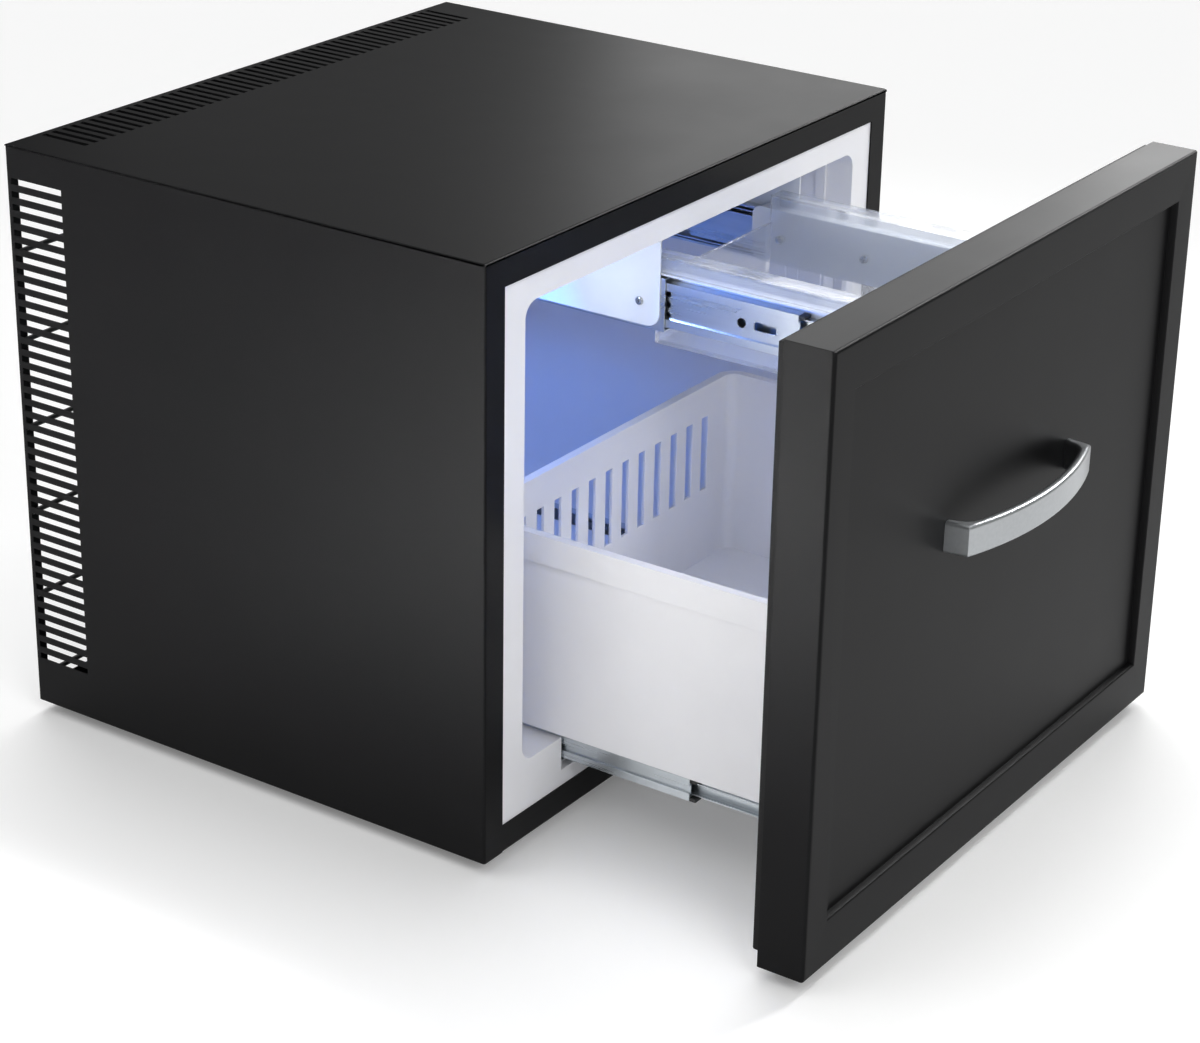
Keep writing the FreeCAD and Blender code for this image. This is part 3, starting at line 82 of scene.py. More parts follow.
def add(tree, kind, inputs, **settings):
    """Add a node with its settings; an input takes a value or another node's output."""
    node = tree.nodes.new(kind)
    for name, value in settings.items():
        setattr(node, name, value)
    for socket, value in inputs.items():
        if isinstance(value, bpy.types.NodeSocket):
            tree.links.new(value, node.inputs[socket])
        else:
            node.inputs[socket].default_value = value
    return node


def new_material(name):
    """A material with its node tree and its shader."""
    material = bpy.data.materials.new(name)
    material.use_nodes = True
    return material, material.node_tree, material.node_tree.nodes["Principled BSDF"]


def finish(name, colours, mottle, roughness, grain, relief, stretch=(1, 1, 1), **sockets):
    """A surface whose colour and gloss drift over a mottle, with a fine grain in relief.

    Mottle, grain and relief are in millimetres. Other sockets of the shader are given by name."""
    material, tree, shader = new_material(name)
    place = add(tree, "ShaderNodeTexCoord", {}).outputs["Object"]
    place = add(tree, "ShaderNodeMapping", {"Vector": place, "Scale": stretch}).outputs["Vector"]
    cloud = add(
        tree, "ShaderNodeTexNoise",
        {"Vector": place, "Scale": spread(mottle), "Detail": CLOUD_DETAIL},
    )
    fine = add(
        tree, "ShaderNodeTexNoise",
        {"Vector": place, "Scale": spread(grain), "Detail": GRAIN_DETAIL},
    )
    shade = add(
        tree, "ShaderNodeMix",
        {
            MIX_FACTOR: cloud.outputs["Fac"],
            MIX_FIRST: linear(colours[0]),
            MIX_SECOND: linear(colours[1]),
        },
        data_type="RGBA",
    )
    gloss = add(
        tree, "ShaderNodeMapRange",
        {"Value": cloud.outputs["Fac"], "To Min": roughness[0], "To Max": roughness[1]},
    )
    bump = add(
        tree, "ShaderNodeBump",
        {"Height": fine.outputs["Fac"], "Distance": relief * MM, "Strength": 1},
    )
    tree.links.new(shade.outputs[MIX_RESULT], shader.inputs["Base Color"])
    tree.links.new(gloss.outputs["Result"], shader.inputs["Roughness"])
    tree.links.new(bump.outputs["Normal"], shader.inputs["Normal"])
    for socket, value in sockets.items():
        label = socket.replace("_", " ").title().replace("Ior", "IOR")
        shader.inputs[label].default_value = value
    return material


# Powder coat on sheet steel: baked granules leave a fine orange peel that spreads the highlights.
powder_coat = finish(
    "satin_powder_coat", ("#101011", "#141415"), mottle=60, roughness=(0.34, 0.4),
    grain=2.2, relief=0.01, specular_ior_level=0.075,
)
# High-impact polystyrene, vacuum formed: white with a soft gloss and a faint draw texture.
polystyrene = finish(
    "white_polystyrene", ("#eeeef1", "#f4f4f7"), mottle=45, roughness=(0.28, 0.36),
    grain=5, relief=0.01,
)
# Cyclopentane-blown polyurethane foam: matt, straw coloured, with open cells where it is cut.
foam = finish(
    "polyurethane_foam", ("#c9b878", "#ddcf98"), mottle=3, roughness=(0.9, 1),
    grain=1.2, relief=0.5,
)
# Black EPDM, extruded and cured: deep black and matt, with hardly a highlight.
rubber = finish(
    "black_rubber", ("#0c0c0d", "#121213"), mottle=12, roughness=(0.55, 0.7),
    grain=0.8, relief=0.03, specular_ior_level=0.2,
)
# Zinc-plated strip, roll formed along the slide: a bluish bright metal with lengthwise lines,
# drawn coarser than they are so that they show.
zinc = finish(
    "zinc_plated_strip", ("#b9c0c6", "#d3d8dc"), mottle=8, roughness=(0.22, 0.36),
    grain=1.2, relief=0.01, stretch=(1, 0.04, 1), metallic=1,
)
# Hot-dip galvanised sheet: dull grey metal with soft crystals about a centimetre wide.
galvanised = finish(
    "galvanised_sheet", ("#8d9396", "#b4b9bb"), mottle=14, roughness=(0.35, 0.5),
    grain=6, relief=0.02, metallic=1,
)
# Dipped wire: a thick black coat with soft gloss.
dipped_wire = finish(
    "black_dipped_wire", ("#121213", "#19191a"), mottle=20, roughness=(0.3, 0.4),
    grain=3, relief=0.03,
)
# Stoved black paint on the cooling unit's tubes and vessels: an even coat with a little flow.
unit_paint = finish(
    "stoved_black_paint", ("#161617", "#1e1e1f"), mottle=25, roughness=(0.3, 0.45),
    grain=2, relief=0.02,
)
# Mill-finish aluminium: pale metal with faint rolling lines, drawn coarser so that they show.
aluminium = finish(
    "mill_aluminium", ("#b3b6b9", "#cbced1"), mottle=6, roughness=(0.28, 0.4),
    grain=1, relief=0.01, stretch=(1, 1, 0.06), metallic=1,
)
# Moulded polypropylene: black with a fine spark-eroded texture, drawn coarser so that it shows.
black_plastic = finish(
    "black_polypropylene", ("#151516", "#1b1b1c"), mottle=15, roughness=(0.42, 0.52),
    grain=0.9, relief=0.02,
)
# White polycarbonate of the lamp's base, moulded: clean and slightly glossy.
lamp_plastic = finish(
    "white_polycarbonate", ("#e4e6ea", "#eceef1"), mottle=20, roughness=(0.35, 0.42),
    grain=1, relief=0.01,
)
# The lit lens: frosted polycarbonate over cool light-emitting diodes.
lamp_lens = finish(
    "lit_frosted_lens", ("#dfe9ff", "#eef4ff"), mottle=20, roughness=(0.4, 0.5),
    grain=1, relief=0.01, emission_color=linear("#c4dcff"), emission_strength=2.5,
)
# Pale grey stoved enamel on the slides' angles: smooth, with a soft gloss.
grey_enamel = finish(
    "pale_grey_enamel", ("#d9dde3", "#e1e5ea"), mottle=30, roughness=(0.3, 0.38),
    grain=1.6, relief=0.01,
)
# Zinc-plated screws: bright, with a slight yellow cast.
screw_zinc = finish(
    "bright_zinc_screw", ("#b7b8b4", "#cfd0cd"), mottle=2, roughness=(0.2, 0.32),
    grain=0.6, relief=0.01, metallic=1,
)
# Hardened chrome steel of the balls: bright and mirror smooth.
ball_steel = finish(
    "hardened_ball_steel", ("#b4b8bb", "#c8ccce"), mottle=1, roughness=(0.08, 0.14),
    grain=0.5, relief=0.002, metallic=1,
)
# Clear acrylic sheet, moulded: water clear with a cold edge tint.
acrylic = finish(
    "clear_acrylic", ("#eef3fb", "#f6f9ff"), mottle=40, roughness=(0.04, 0.08),
    grain=14, relief=0.008, transmission_weight=0.86, ior=1.49, alpha=0.6,
)
# Satin chromium plate over a die casting: a blasted grain, drawn coarser than it is, spreads every
# reflection into a soft glow.
chrome = finish(
    "satin_chromium_plate", ("#a3a6a9", "#b4b7b9"), mottle=3, roughness=(0.3, 0.38),
    grain=0.8, relief=0.004, metallic=1,
)

SLOT_FINISH = {
    "cabinet_paint": powder_coat,
    "liner_plastic": polystyrene,
    "rigid_foam": foam,
    "rubber": rubber,
    "galvanised_steel": zinc,
    "black_wire": dipped_wire,
    "unit_paint": unit_paint,
    "fin_aluminium": aluminium,
    "black_plastic": black_plastic,
    "lamp_white": lamp_plastic,
    "lamp_glow": lamp_lens,
    "white_steel": grey_enamel,
    "screw_steel": screw_zinc,
    "clear_acrylic": acrylic,
    "handle_chrome": chrome,
}
NODE_FINISH = {"rear_wall": galvanised}


def finish_of(node):
    return NODE_FINISH.get(node, SLOT_FINISH[SLOT_OF[node]])


def paint(piece, material):
    piece.data.materials.clear()
    piece.data.materials.append(material)


for name, solid in frame["nodes"].items():
    paint(solid, finish_of(name))


# Ways of working

MERGE = 0.01 * MM
FLAT = math.radians(0.5)
CREASE = math.radians(50)
LAID_ALONG_X = (0, math.pi / 2, 0)


def activate(piece):
    """Select this piece alone."""
    bpy.ops.object.select_all(action="DESELECT")
    piece.select_set(True)
    bpy.context.view_layer.objects.active = piece


def edit(piece, kind, wanted):
    """Open a piece for editing, with the edges or faces selected whose corners answer a test."""
    activate(piece)
    mesh = piece.data
    for group in (mesh.vertices, mesh.edges, mesh.polygons):
        group.foreach_set("select", [False] * len(group))
    for part in mesh.edges if kind == "EDGE" else mesh.polygons:
        if wanted(*(mesh.vertices[corner].co for corner in part.vertices)):
            part.select = True
            for corner in part.vertices:
                mesh.vertices[corner].select = True
    bpy.ops.object.mode_set(mode="EDIT")
    bpy.ops.mesh.select_mode(type=kind)


def close():
    bpy.ops.object.mode_set(mode="OBJECT")


def everything(*corners):
    """A test that all edges and faces pass."""
    return True


def on(level, axis, slack=MERGE):
    """A test: all corners lie on this level of an axis."""
    return lambda *corners: all(abs(corner[axis] - level) < slack for corner in corners)


def soften(radius, segments, clamp=False):
    """Round the edges that are selected."""
    bpy.ops.mesh.bevel(
        offset=radius * MM, segments=segments, affect="EDGES", clamp_overlap=clamp,
    )


def applied(piece, kind, **settings):
    """Finish a piece with a modifier."""
    modifier = piece.modifiers.new(kind.lower(), kind)
    for name, value in settings.items():
        setattr(modifier, name, value)
    activate(piece)
    bpy.ops.object.modifier_apply(modifier=modifier.name)


def settle(piece):
    """Put a piece's place and turn into its mesh."""
    activate(piece)
    bpy.ops.object.transform_apply(location=True, rotation=True, scale=True)


def smooth(piece):
    """Shade the rounds smooth and keep the flats flat."""
    activate(piece)
    bpy.ops.object.shade_smooth_by_angle(angle=CREASE)
    applied(piece, "WEIGHTED_NORMAL", keep_sharp=True)


def rounded(piece, radius, segments, sharp=CREASE):
    """Round every edge that turns by more than an angle."""
    applied(
        piece, "BEVEL", width=radius * MM, segments=segments, limit_method="ANGLE",
        angle_limit=sharp,
    )


def joined(name, pieces):
    """Several pieces as one object, with their places in its mesh."""
    bpy.ops.object.select_all(action="DESELECT")
    for piece in pieces:
        piece.select_set(True)
    whole = pieces[0]
    bpy.context.view_layer.objects.active = whole
    bpy.ops.object.transform_apply(location=True, rotation=True, scale=True)
    bpy.ops.object.join()
    whole.name = name
    return whole


def copied(piece, place):
    """A copy with its own mesh, moved and turned by a matrix."""
    twin = bpy.data.objects.new(piece.name, piece.data.copy())
    twin.matrix_world = place
    bpy.context.collection.objects.link(twin)
    return twin


def block(low, high):
    """A bar between two corners, as a start."""
    bpy.ops.mesh.primitive_cube_add(size=1, location=(low + high) / 2)
    piece = bpy.context.object
    piece.scale = high - low
    settle(piece)
    return piece


def stand_for(piece, *nodes):
    """A piece takes the place, finish and motion of the solids that it shows."""
    node = nodes[0]
    piece.name = f"dressed_{node}"
    paint(piece, finish_of(node))
    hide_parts(*nodes)
    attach(piece, BODY_OF[node])


def solid_copy(node):
    """A copy of a solid's mesh, with its triangles merged back into whole faces."""
    piece = bpy.data.objects.new(node, frame["nodes"][node].data.copy())
    bpy.context.collection.objects.link(piece)
    activate(piece)
    bpy.ops.mesh.customdata_custom_splitnormals_clear()
    bpy.ops.object.mode_set(mode="EDIT")
    bpy.ops.mesh.select_all(action="SELECT")
    bpy.ops.mesh.remove_doubles(threshold=MERGE)
    bpy.ops.mesh.dissolve_limited(angle_limit=FLAT)
    close()
    return piece


def loose_boxes(node):
    """The corners of each separate solid of a node, with the end along X at which it is widest."""
    activate(solid_copy(node))
    bpy.ops.object.mode_set(mode="EDIT")
    bpy.ops.mesh.select_all(action="SELECT")
    bpy.ops.mesh.separate(type="LOOSE")
    close()
    boxes = []
    for piece in list(bpy.context.selected_objects):
        places = [vertex.co.copy() for vertex in piece.data.vertices]
        low, high = (
            Vector([pick(place[axis] for place in places) for axis in (X, Y, Z)])
            for pick in (min, max)
        )
        middle = (low + high) / 2
        widest = max(places, key=lambda place: (place.yz - middle.yz).length)
        boxes.append((low, high, 1 if widest.x > middle.x else -1))
        bpy.data.objects.remove(piece)
    return boxes


# Pressed and moulded pieces, with their edges rounded as their process leaves them
# Each round here and below is a radius in millimetres and the number of facets across it.

EDGE_ROUNDS = {
    "bin": (1.0, 3), "clear_tray": (0.7, 2), "lamp_base": (2.0, 3), "lamp_lens": (1.2, 3),
    "door_inner_panel": (0.8, 2), "feet": (2.0, 3), "terminal_box": (1.6, 3),
    "power_inlet": (0.5, 2), "absorber_vessel": (4.0, 4), "boiler": (3.0, 4),
    "vessel_cradles": (0.4, 2), "evaporator": (0.3, 2), "condenser_fins": (0.15, 2),
    "upper_slide_bumpers": (0.5, 2), "lower_slide_bumpers": (0.4, 2),
    "left_hanger": (0.4, 2), "right_hanger": (0.4, 2), "left_arm": (0.4, 2),
    "right_arm": (0.4, 2), "left_bin_bracket": (0.4, 2), "right_bin_bracket": (0.4, 2),
    "rear_wall": (0.2, 2),
}
MEMBER_ROUND = (0.25, 2)
for height in ("upper", "lower"):
    for hand in ("left", "right"):
        for member in ("fixed", "middle", "drawer"):
            EDGE_ROUNDS[f"{height}_{hand}_{member}_member"] = MEMBER_ROUND


def eased(node, *edge_round):
    """A solid with its edges rounded."""
    piece = solid_copy(node)
    rounded(piece, *edge_round)
    smooth(piece)
    stand_for(piece, node)


for name, edge_round in EDGE_ROUNDS.items():
    eased(name, *edge_round)


# Door seal

LIP = 3
LIP_ZONE = 5
SEAL_ROUND = (0.6, 2)


def gasket():
    """The door seal, with its outside drawn out over the rim of the inner panel."""
    piece = solid_copy("door_gasket")
    low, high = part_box("door_gasket")
    for level, axis, way in ((low.x, X, -1), (high.x, X, 1), (low.z, Z, -1), (high.z, Z, 1)):
        step = [0, 0, 0]
        step[axis] = way * LIP * MM
        edit(piece, "FACE", on(level, axis, LIP_ZONE * MM))
        bpy.ops.transform.translate(value=step)
        close()
    rounded(piece, *SEAL_ROUND)
    smooth(piece)
    stand_for(piece, "door_gasket")


gasket()


# Folded sheets

FOLD_RADIUS = 2.4
FOLD_FACETS = 4
FOLD_DRAWN = 0.8
FOLD_SLACK = 0.02
SHEET = 0.8
SHEET_EDGE = (0.25, 2)
REAR_TURN = 26
REAR_TURN_GAP = 8
LONG_EDGE = 50


def folded(node, low, high):
    """A sheet with the long folds along its front rounded, where it meets the sides of a box."""
    piece = solid_copy(node)
    front = on(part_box(node)[0].y, Y)
    sides = [on(low.x, X), on(high.x, X), on(low.z, Z), on(high.z, Z)]

    def fold(first, second):
        long = (first - second).length > LONG_EDGE * MM
        return long and front(first, second) and any(side(first, second) for side in sides)

    edit(piece, "EDGE", fold)
    soften(FOLD_RADIUS, FOLD_FACETS)
    close()
    return piece


def top_finished(piece, low, high):
    """The top sheet, with the drawn fold along its front widened and its rear edge turned down."""
    reach = (FOLD_DRAWN + FOLD_SLACK) * MM
    grow = FOLD_RADIUS / FOLD_DRAWN

    def drawn_fold(*corners):
        return all(at.y < low.y + reach and at.z > high.z - reach for at in corners)

    edit(piece, "FACE", drawn_fold)
    bpy.ops.transform.resize(value=(1, grow, grow), center_override=(0, low.y, high.z))
    close()
    drop = block(
        Vector((low.x + REAR_TURN_GAP * MM, high.y - SHEET * MM, high.z - REAR_TURN * MM)),
        Vector((high.x - REAR_TURN_GAP * MM, high.y, high.z - SHEET * MM)),
    )
    rounded(drop, *SHEET_EDGE)
    return joined("top_panel", [piece, drop])


def cabinet_sheets():
    """The four sheets round the cabinet."""
    cabinet_low, cabinet_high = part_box("left_side_panel")[0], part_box("right_side_panel")[1]
    for node in ("left_side_panel", "right_side_panel", "top_panel", "base_panel"):
        piece = folded(node, cabinet_low, cabinet_high)
        if node == "top_panel":
            piece = top_finished(piece, *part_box(node))
        smooth(piece)
        stand_for(piece, node)


def door_sheet():
    """The door's skin, with its cut edges rounded as well."""
    piece = folded("door_skin", *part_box("door_skin"))
    rounded(piece, *SHEET_EDGE)
    smooth(piece)
    stand_for(piece, "door_skin")


cabinet_sheets()
door_sheet()


# Handle

STRAP = 7.6
STRAP_CROWN = (3.2, 5)
BOW_RISE = 17
BOW_STEPS = 12
LEG_LEAN = 2.5
KNEE_OUTSIDE = (0.3, 2)
KNEE_INSIDE = (7, 5)


def handle():
    """A bowed strap on two legs: sharp knees outside, soft ones inside, and crowned long edges."""
    low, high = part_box("handle")
    knee = Vector((high.x - LEG_LEAN * MM, low.y + BOW_RISE * MM, 0))
    radius = (knee.x ** 2 + (BOW_RISE * MM) ** 2) / (2 * BOW_RISE * MM)
    sweep = math.asin(knee.x / radius)
    centre = Vector((0, low.y + radius, 0))
    inner = radius - STRAP * MM

    def behind(turn):
        return centre + inner * Vector((math.sin(turn), -math.cos(turn), 0))

    def upright(place):
        return lambda *corners: all((corner.xy - place.xy).length < MERGE for corner in corners)

    heel, inside = behind(sweep), behind(sweep * (1 - 1 / BOW_STEPS))

    def heel_face(*corners):
        return all(upright(heel)(corner) or upright(inside)(corner) for corner in corners)

    # The right half of the bow, spun from its section and left open where the mirror comes
    bpy.ops.mesh.primitive_plane_add(
        size=1, location=(0, low.y + STRAP / 2 * MM, (low.z + high.z) / 2), rotation=LAID_ALONG_X,
    )
    piece = bpy.context.object
    piece.scale = (high.z - low.z, STRAP * MM, 1)
    settle(piece)
    edit(piece, "FACE", everything)
    bpy.ops.mesh.spin(steps=BOW_STEPS, angle=sweep, center=centre, axis=(0, 0, -1))
    close()
    edit(piece, "FACE", on(0, X))
    bpy.ops.mesh.delete(type="FACE")
    close()

    # The leg, drawn from the back of the bow's end to the door
    edit(piece, "FACE", heel_face)
    bpy.ops.mesh.extrude_region_move()
    bpy.ops.transform.resize(value=(1, 0, 1), center_override=(0, high.y, 0))
    bpy.ops.transform.translate(value=(high.x - heel.x, 0, 0))
    close()
    edit(piece, "EDGE", upright(heel))
    leg_share = (heel.y - knee.y) / (high.y - knee.y)
    bpy.ops.transform.translate(value=(knee.x + LEG_LEAN * MM * leg_share - heel.x, 0, 0))
    close()
    edit(piece, "EDGE", upright(inside))
    soften(*KNEE_INSIDE)
    close()

    # Both halves as one, with the crown along its upper and lower edges
    applied(piece, "MIRROR", merge_threshold=MERGE)
    edit(piece, "FACE", everything)
    bpy.ops.mesh.dissolve_limited(angle_limit=FLAT)
    close()
    levels, foot = [on(low.z, Z), on(high.z, Z)], on(high.y, Y)
    edit(piece, "EDGE", lambda *ends: any(level(*ends) for level in levels) and not foot(*ends))
    soften(*STRAP_CROWN)
    bpy.ops.mesh.select_all(action="SELECT")
    bpy.ops.mesh.normals_make_consistent(inside=False)
    close()
    rounded(piece, *KNEE_OUTSIDE)
    smooth(piece)
    stand_for(piece, "handle")


handle()


# Inner liner

MOUTH_ROUND = (4.0, 4)
MOUTH_MARGIN = 30


def liner():
    """The vacuum-formed tub, with the soft edge where its sheet turns into the cavity."""
    piece = solid_copy("inner_liner")
    low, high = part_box("inner_liner")
    front = on(low.y, Y)
    margin = MOUTH_MARGIN * MM

    def within(corner):
        across = low.x + margin < corner.x < high.x - margin
        return across and low.z + margin < corner.z < high.z - margin

    def mouth(first, second):
        return within(first) and within(second) and front(first, second)

    edit(piece, "EDGE", mouth)
    soften(*MOUTH_ROUND, clamp=True)
    close()
    smooth(piece)
    stand_for(piece, "inner_liner")


liner()


# Tubes of the cooling unit

TUBES = ("absorber_coil", "condenser_tube", "boiler_feed_tube", "evaporator_tubes")
TUBE_ROUND = (1.6, 3)
TUBE_FACET = math.radians(35)


def drawn_tube(node):
    """A bent tube: the solid's eight sides, with the edges between them rounded to a circle."""
    piece = solid_copy(node)
    rounded(piece, *TUBE_ROUND, TUBE_FACET)
    smooth(piece)
    stand_for(piece, node)


for name in TUBES:
    drawn_tube(name)


# Rear guard

ROD_RADIUS = 2.25
ROD_SIDES = 20
ROD_END = (0.8, 3)
ROD_COUNT = 6
ROD_MARGIN = 10
ROD_WELD = 0.5
STAY_WIDTH = 10
STAY_THICKNESS = 2
STAY_EDGE = (0.5, 2)
STAY_PLACE = 150


def guard():
    """Round rods with rounded ends, welded to two flat stays."""
    low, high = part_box("rear_guard")
    depth = high.y - ROD_RADIUS * MM
    first, last = low.z + ROD_MARGIN * MM, high.z - ROD_MARGIN * MM
    bpy.ops.mesh.primitive_cylinder_add(
        vertices=ROD_SIDES, radius=ROD_RADIUS * MM, depth=high.x - low.x,
        location=(0, depth, first), rotation=LAID_ALONG_X,
    )
    rod = bpy.context.object
    settle(rod)
    rounded(rod, *ROD_END)
    rise = (last - first) / (ROD_COUNT - 1)
    pieces = [rod]
    for step in range(1, ROD_COUNT):
        pieces.append(copied(rod, Matrix.Translation((0, 0, rise * step))))
    back = depth - (ROD_RADIUS - ROD_WELD) * MM
    corner = Vector((STAY_WIDTH / 2 * MM, 0, 0))
    stay = block(
        Vector((0, back - STAY_THICKNESS * MM, low.z)) - corner, Vector((0, back, high.z)) + corner,
    )
    rounded(stay, *STAY_EDGE)
    for side in (-1, 1):
        pieces.append(copied(stay, Matrix.Translation((side * STAY_PLACE * MM, 0, 0))))
    bpy.data.objects.remove(stay)
    whole = joined("guard", pieces)
    smooth(whole)
    stand_for(whole, "rear_guard")


guard()


# Screws

HEAD_RADIUS = 3.6
HEAD_HEIGHT = 1.8
HEAD_SIDES = 32
HEAD_ROUND = (1.2, 4)
SHANK_RADIUS = 2.0
RECESS_REACH = 2.0
RECESS_HALF_WIDTH = 0.42
RECESS_FLOOR = 0.7
RECESS_TAPER = 0.6


def pan_head_screw(length):
    """A pan head with a cross recess, seated at the origin: head along +X, shank behind."""
    bpy.ops.mesh.primitive_cylinder_add(
        vertices=HEAD_SIDES, radius=HEAD_RADIUS * MM, depth=HEAD_HEIGHT * MM,
        location=(HEAD_HEIGHT / 2 * MM, 0, 0), rotation=LAID_ALONG_X,
    )
    screw = bpy.context.object
    settle(screw)
    edit(screw, "EDGE", on(HEAD_HEIGHT * MM, X))
    soften(*HEAD_ROUND)
    close()
    edit(screw, "FACE", on(0, X))
    bpy.ops.mesh.inset(thickness=(HEAD_RADIUS - SHANK_RADIUS) * MM)
    bpy.ops.mesh.extrude_region_move(TRANSFORM_OT_translate={"value": (-length, 0, 0)})
    close()
    reach, slot = RECESS_REACH * MM, RECESS_HALF_WIDTH * MM
    ground, above = RECESS_FLOOR * MM, 2 * HEAD_HEIGHT * MM
    for across, upward in ((reach, slot), (slot, reach)):
        cutter = block(Vector((ground, -across, -upward)), Vector((above, across, upward)))
        edit(cutter, "FACE", on(ground, X))
        bpy.ops.transform.resize(value=(1, RECESS_TAPER, RECESS_TAPER))
        close()
        applied(screw, "BOOLEAN", object=cutter, operation="DIFFERENCE", solver="EXACT")
        bpy.data.objects.remove(cutter)
    return screw


def screws(node):
    """The screws of one node, each turned so that its head faces away from the plate."""
    pieces = []
    for low, high, head_side in loose_boxes(node):
        middle = (low + high) / 2
        screw = pan_head_screw(high.x - low.x - HEAD_HEIGHT * MM)
        seat = high.x - HEAD_HEIGHT * MM if head_side > 0 else low.x + HEAD_HEIGHT * MM
        turn = Matrix.Rotation(0 if head_side > 0 else math.pi, 4, "Z")
        screw.matrix_world = Matrix.Translation((seat, middle.y, middle.z)) @ turn
        pieces.append(screw)
    whole = joined(node, pieces)
    smooth(whole)
    stand_for(whole, node)


screws("hanger_screws")
screws("arm_screws")


# Ball cages

BALL_PITCH = 13
BALL_SUBDIVISIONS = 2
STRIP_SHARE = 0.55
STRIP_EDGE = (0.2, 2)


def ball(radius):
    """A steel ball: a coarse sphere, subdivided until it is round."""
    bpy.ops.mesh.primitive_ico_sphere_add(subdivisions=BALL_SUBDIVISIONS, radius=radius)
    piece = bpy.context.object
    applied(piece, "SUBSURF", levels=1)
    return piece


def ball_cages(node):
    """Plastic strips that carry rows of steel balls between the members of the slides."""
    strips, balls = [], []
    for low, high, _ in loose_boxes(node):
        middle = (low + high) / 2
        rise = Vector((0, 0, (high.z - low.z) * (1 - STRIP_SHARE) / 2))
        strips.append(block(low + rise, high - rise))
        count = int((high.y - low.y) / (BALL_PITCH * MM))
        pattern = ball((high.z - low.z) / 2)
        for step in range(count):
            along = low.y + (step + 0.5) * (high.y - low.y) / count
            balls.append(copied(pattern, Matrix.Translation((middle.x, along, middle.z))))
        bpy.data.objects.remove(pattern)
    strip = joined(node, strips)
    rounded(strip, *STRIP_EDGE)
    smooth(strip)
    stand_for(strip, node)
    row = joined(node.replace("cages", "rows"), balls)
    smooth(row)
    paint(row, ball_steel)
    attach(row, BODY_OF[node])


for height in ("upper", "lower"):
    for race in ("outer", "inner"):
        ball_cages(f"{height}_{race}_ball_cages")


# Camera, solved from the straight edges of the cabinet in the picture

PICTURE = (1200, 1043)
FOCAL_PIXELS = 3054.6
AXIS_PIXEL = (637.3, 500.8)
SENSOR = 36
CAMERA_PLACE = Vector((-1.9758, -1.3259, 1.2417))
AZIMUTH, ELEVATION, ROLL = (math.radians(angle) for angle in (-56.56, 23.58, 1.37))


def camera():
    """The view of the picture; the lens is shifted, as the picture is cropped off its axis."""
    lens = bpy.data.cameras.new("camera")
    lens.sensor_width = SENSOR
    lens.lens = lens.sensor_width * FOCAL_PIXELS / PICTURE[0]
    lens.shift_x = (PICTURE[0] / 2 - AXIS_PIXEL[0]) / PICTURE[0]
    lens.shift_y = (AXIS_PIXEL[1] - PICTURE[1] / 2) / PICTURE[0]
    back = Vector((
        math.sin(AZIMUTH) * math.cos(ELEVATION),
        -math.cos(AZIMUTH) * math.cos(ELEVATION),
        math.sin(ELEVATION),
    ))
    right = Vector((math.cos(AZIMUTH), math.sin(AZIMUTH), 0))
    up = back.cross(right)
    level = Matrix((right, up, back)).transposed().to_4x4()
    eye = bpy.data.objects.new("camera", lens)
    eye.matrix_world = Matrix.Translation(CAMERA_PLACE) @ level @ Matrix.Rotation(ROLL, 4, "Z")
    bpy.context.collection.objects.link(eye)
    bpy.context.scene.camera = eye


# Studio

FLOOR_SIZE = 30
FLOOR_SHADE = "#f6f6f6"
FLOOR_GLOW = 0.14
ROOM_DARK, ROOM_LIGHT = 0.04, 0.55
LIGHT_WALL = (-0.7, -0.7, 0.14)
# Even lights: strength, breadth in degrees, and the place that they come from
BROAD_LIGHTS = {
    "right_key": (1.0, 26, (0.75, 0.6, 3)),
    "left_key": (0.45, 40, (-1.4, 1.6, 2.6)),
    "overhead": (0.33, 110, (0, 0, 3)),
}
# Lit panels: place, target and size in metres, power in watts, and beam in degrees
FULL_BEAM = 180
PANELS = {
    "right_strip": ((1.6, 0.1, 1.0), (0, -0.1, 0.5), (0.4, 0.8), 2.2, 110),
    "right_box": ((1.6, 0.65, 1.15), (0, 0.1, 0.5), (0.8, 1.2), 2.8, 110),
    "right_rear_box": ((1.35, 1.35, 1.15), (0, 0.2, 0.5), (0.9, 1.0), 0.25, 110),
    "right_front_box": ((1.5, -0.66, 1.54), (0, -0.2, 0.5), (0.5, 0.8), 2.0, 44),
    "front_fill": ((-1.6, -2.6, 2.2), (0, -0.2, 0.3), (1.6, 1.2), 24.5, FULL_BEAM),
    "left_floor_pool": ((-1.05, 0.15, 1.1), (-1.05, 0.15, 0), (0.4, 0.4), 14, 42),
    "left_far_pool": ((-1.6, 0.45, 1.1), (-1.6, 0.45, 0), (0.4, 0.4), 13, 40),
}
# The fridge's own lamp, from the end of its lens: target, power, colour and beam
LENS_INSET = 12
LENS_DROP = 3
LENS_PANEL = (0.02, 0.03)
LAMP_BLUE = "#3f86ff"
LAMP_PALE = "#e6eeff"
LAMP_LIGHTS = {
    "cabin_light": ((-0.02, 0.27, 0.25), 0.6, LAMP_BLUE, 95),
    "slide_glow": ((-0.06, -0.2, 0.39), 0.18, LAMP_BLUE, 70),
    "lens_glow": ((0, -0.02, 0.4), 0.12, LAMP_PALE, FULL_BEAM),
}


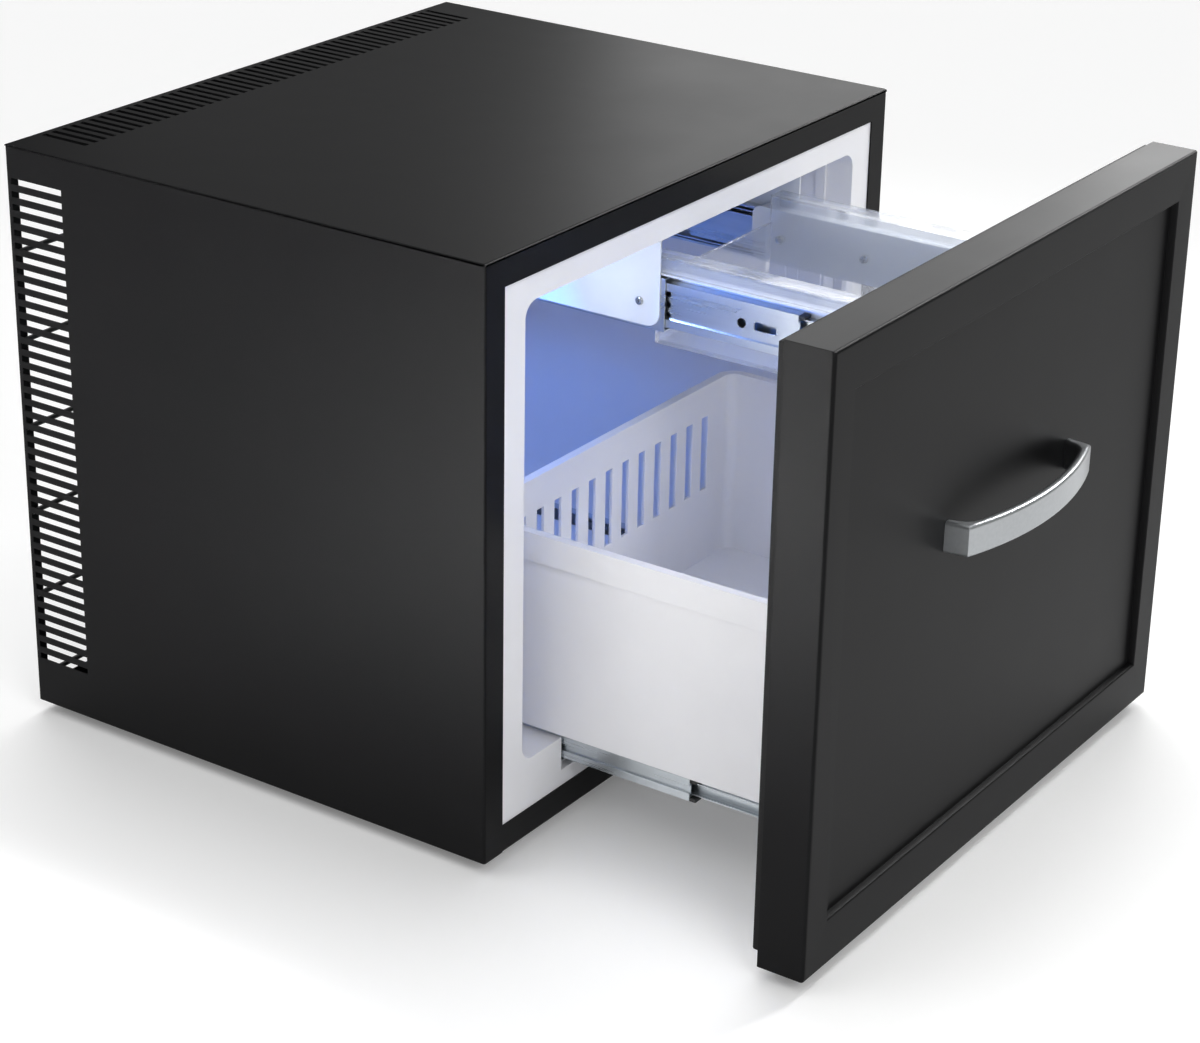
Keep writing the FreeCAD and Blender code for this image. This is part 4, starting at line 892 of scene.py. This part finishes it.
def floor():
    """A pale matt floor that keeps its shadows.

    Seen straight on or in gloss and glass it has a faint glow of its own, which takes it to white
    without more light on the object."""
    bpy.ops.mesh.primitive_plane_add(size=FLOOR_SIZE, location=(0, 0, 0))
    plane = bpy.context.object
    plane.name = "studio_floor"
    material, tree, shader = new_material("studio_floor")
    ray = add(tree, "ShaderNodeLightPath", {}).outputs
    seen = add(
        tree, "ShaderNodeMath", {0: ray["Is Camera Ray"], 1: ray["Is Glossy Ray"]},
        operation="MAXIMUM",
    )
    seen = add(
        tree, "ShaderNodeMath", {0: seen.outputs[0], 1: ray["Is Transmission Ray"]},
        operation="MAXIMUM",
    )
    strength = add(
        tree, "ShaderNodeMath", {0: seen.outputs[0], 1: FLOOR_GLOW}, operation="MULTIPLY",
    )
    tree.links.new(strength.outputs[0], shader.inputs["Emission Strength"])
    shader.inputs["Emission Color"].default_value = linear(WHITE)
    shader.inputs["Base Color"].default_value = linear(FLOOR_SHADE)
    shader.inputs["Roughness"].default_value = 1
    shader.inputs["Specular IOR Level"].default_value = 0
    paint(plane, material)


def aimed(name, light, place, target):
    """Place a light and turn it to its target."""
    lamp = bpy.data.objects.new(name, light)
    lamp.location = place
    lamp.rotation_euler = (Vector(target) - Vector(place)).to_track_quat("-Z", "Y").to_euler()
    lamp.visible_camera = False
    bpy.context.collection.objects.link(lamp)


def softbox(name, place, target, size, power, colour, beam):
    """A lit panel; a narrower beam gathers its light towards the target."""
    light = bpy.data.lights.new(name, "AREA")
    light.shape = "RECTANGLE"
    light.spread = math.radians(beam)
    light.size, light.size_y = size
    light.energy = power
    light.color = linear(colour)[:3]
    aimed(name, light, place, target)


def broad_light(name, strength, breadth, place):
    """A light that is even over the whole floor; its breadth softens the shadows."""
    light = bpy.data.lights.new(name, "SUN")
    light.energy = strength
    light.angle = math.radians(breadth)
    aimed(name, light, place, (0, 0, 0))


def world():
    """A room that is light towards the viewer's left and dark on the far right."""
    room = bpy.context.scene.world or bpy.data.worlds.new("studio")
    bpy.context.scene.world = room
    room.use_nodes = True
    tree = room.node_tree
    tree.nodes.clear()
    direction = add(tree, "ShaderNodeTexCoord", {}).outputs["Generated"]
    side = add(
        tree, "ShaderNodeVectorMath", {0: direction, 1: LIGHT_WALL}, operation="DOT_PRODUCT",
    )
    strength = add(
        tree, "ShaderNodeMapRange",
        {
            "Value": side.outputs["Value"], "From Min": -1, "From Max": 1,
            "To Min": ROOM_DARK, "To Max": ROOM_LIGHT,
        },
    )
    sky = add(
        tree, "ShaderNodeBackground",
        {"Color": linear(WHITE), "Strength": strength.outputs["Result"]},
    )
    add(tree, "ShaderNodeOutputWorld", {"Surface": sky.outputs[0]})


camera()
world()
floor()
for name, (strength, breadth, place) in BROAD_LIGHTS.items():
    broad_light(name, strength, breadth, place)
for name, (place, target, size, power, beam) in PANELS.items():
    softbox(name, place, target, size, power, WHITE, beam)
lens_low, lens_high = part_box("lamp_lens")
lens_end = Vector((
    lens_low.x + LENS_INSET * MM, (lens_low.y + lens_high.y) / 2, lens_low.z - LENS_DROP * MM,
))
for name, (target, power, colour, beam) in LAMP_LIGHTS.items():
    softbox(name, lens_end, target, LENS_PANEL, power, colour, beam)

bpy.context.scene.view_settings.view_transform = "Standard"
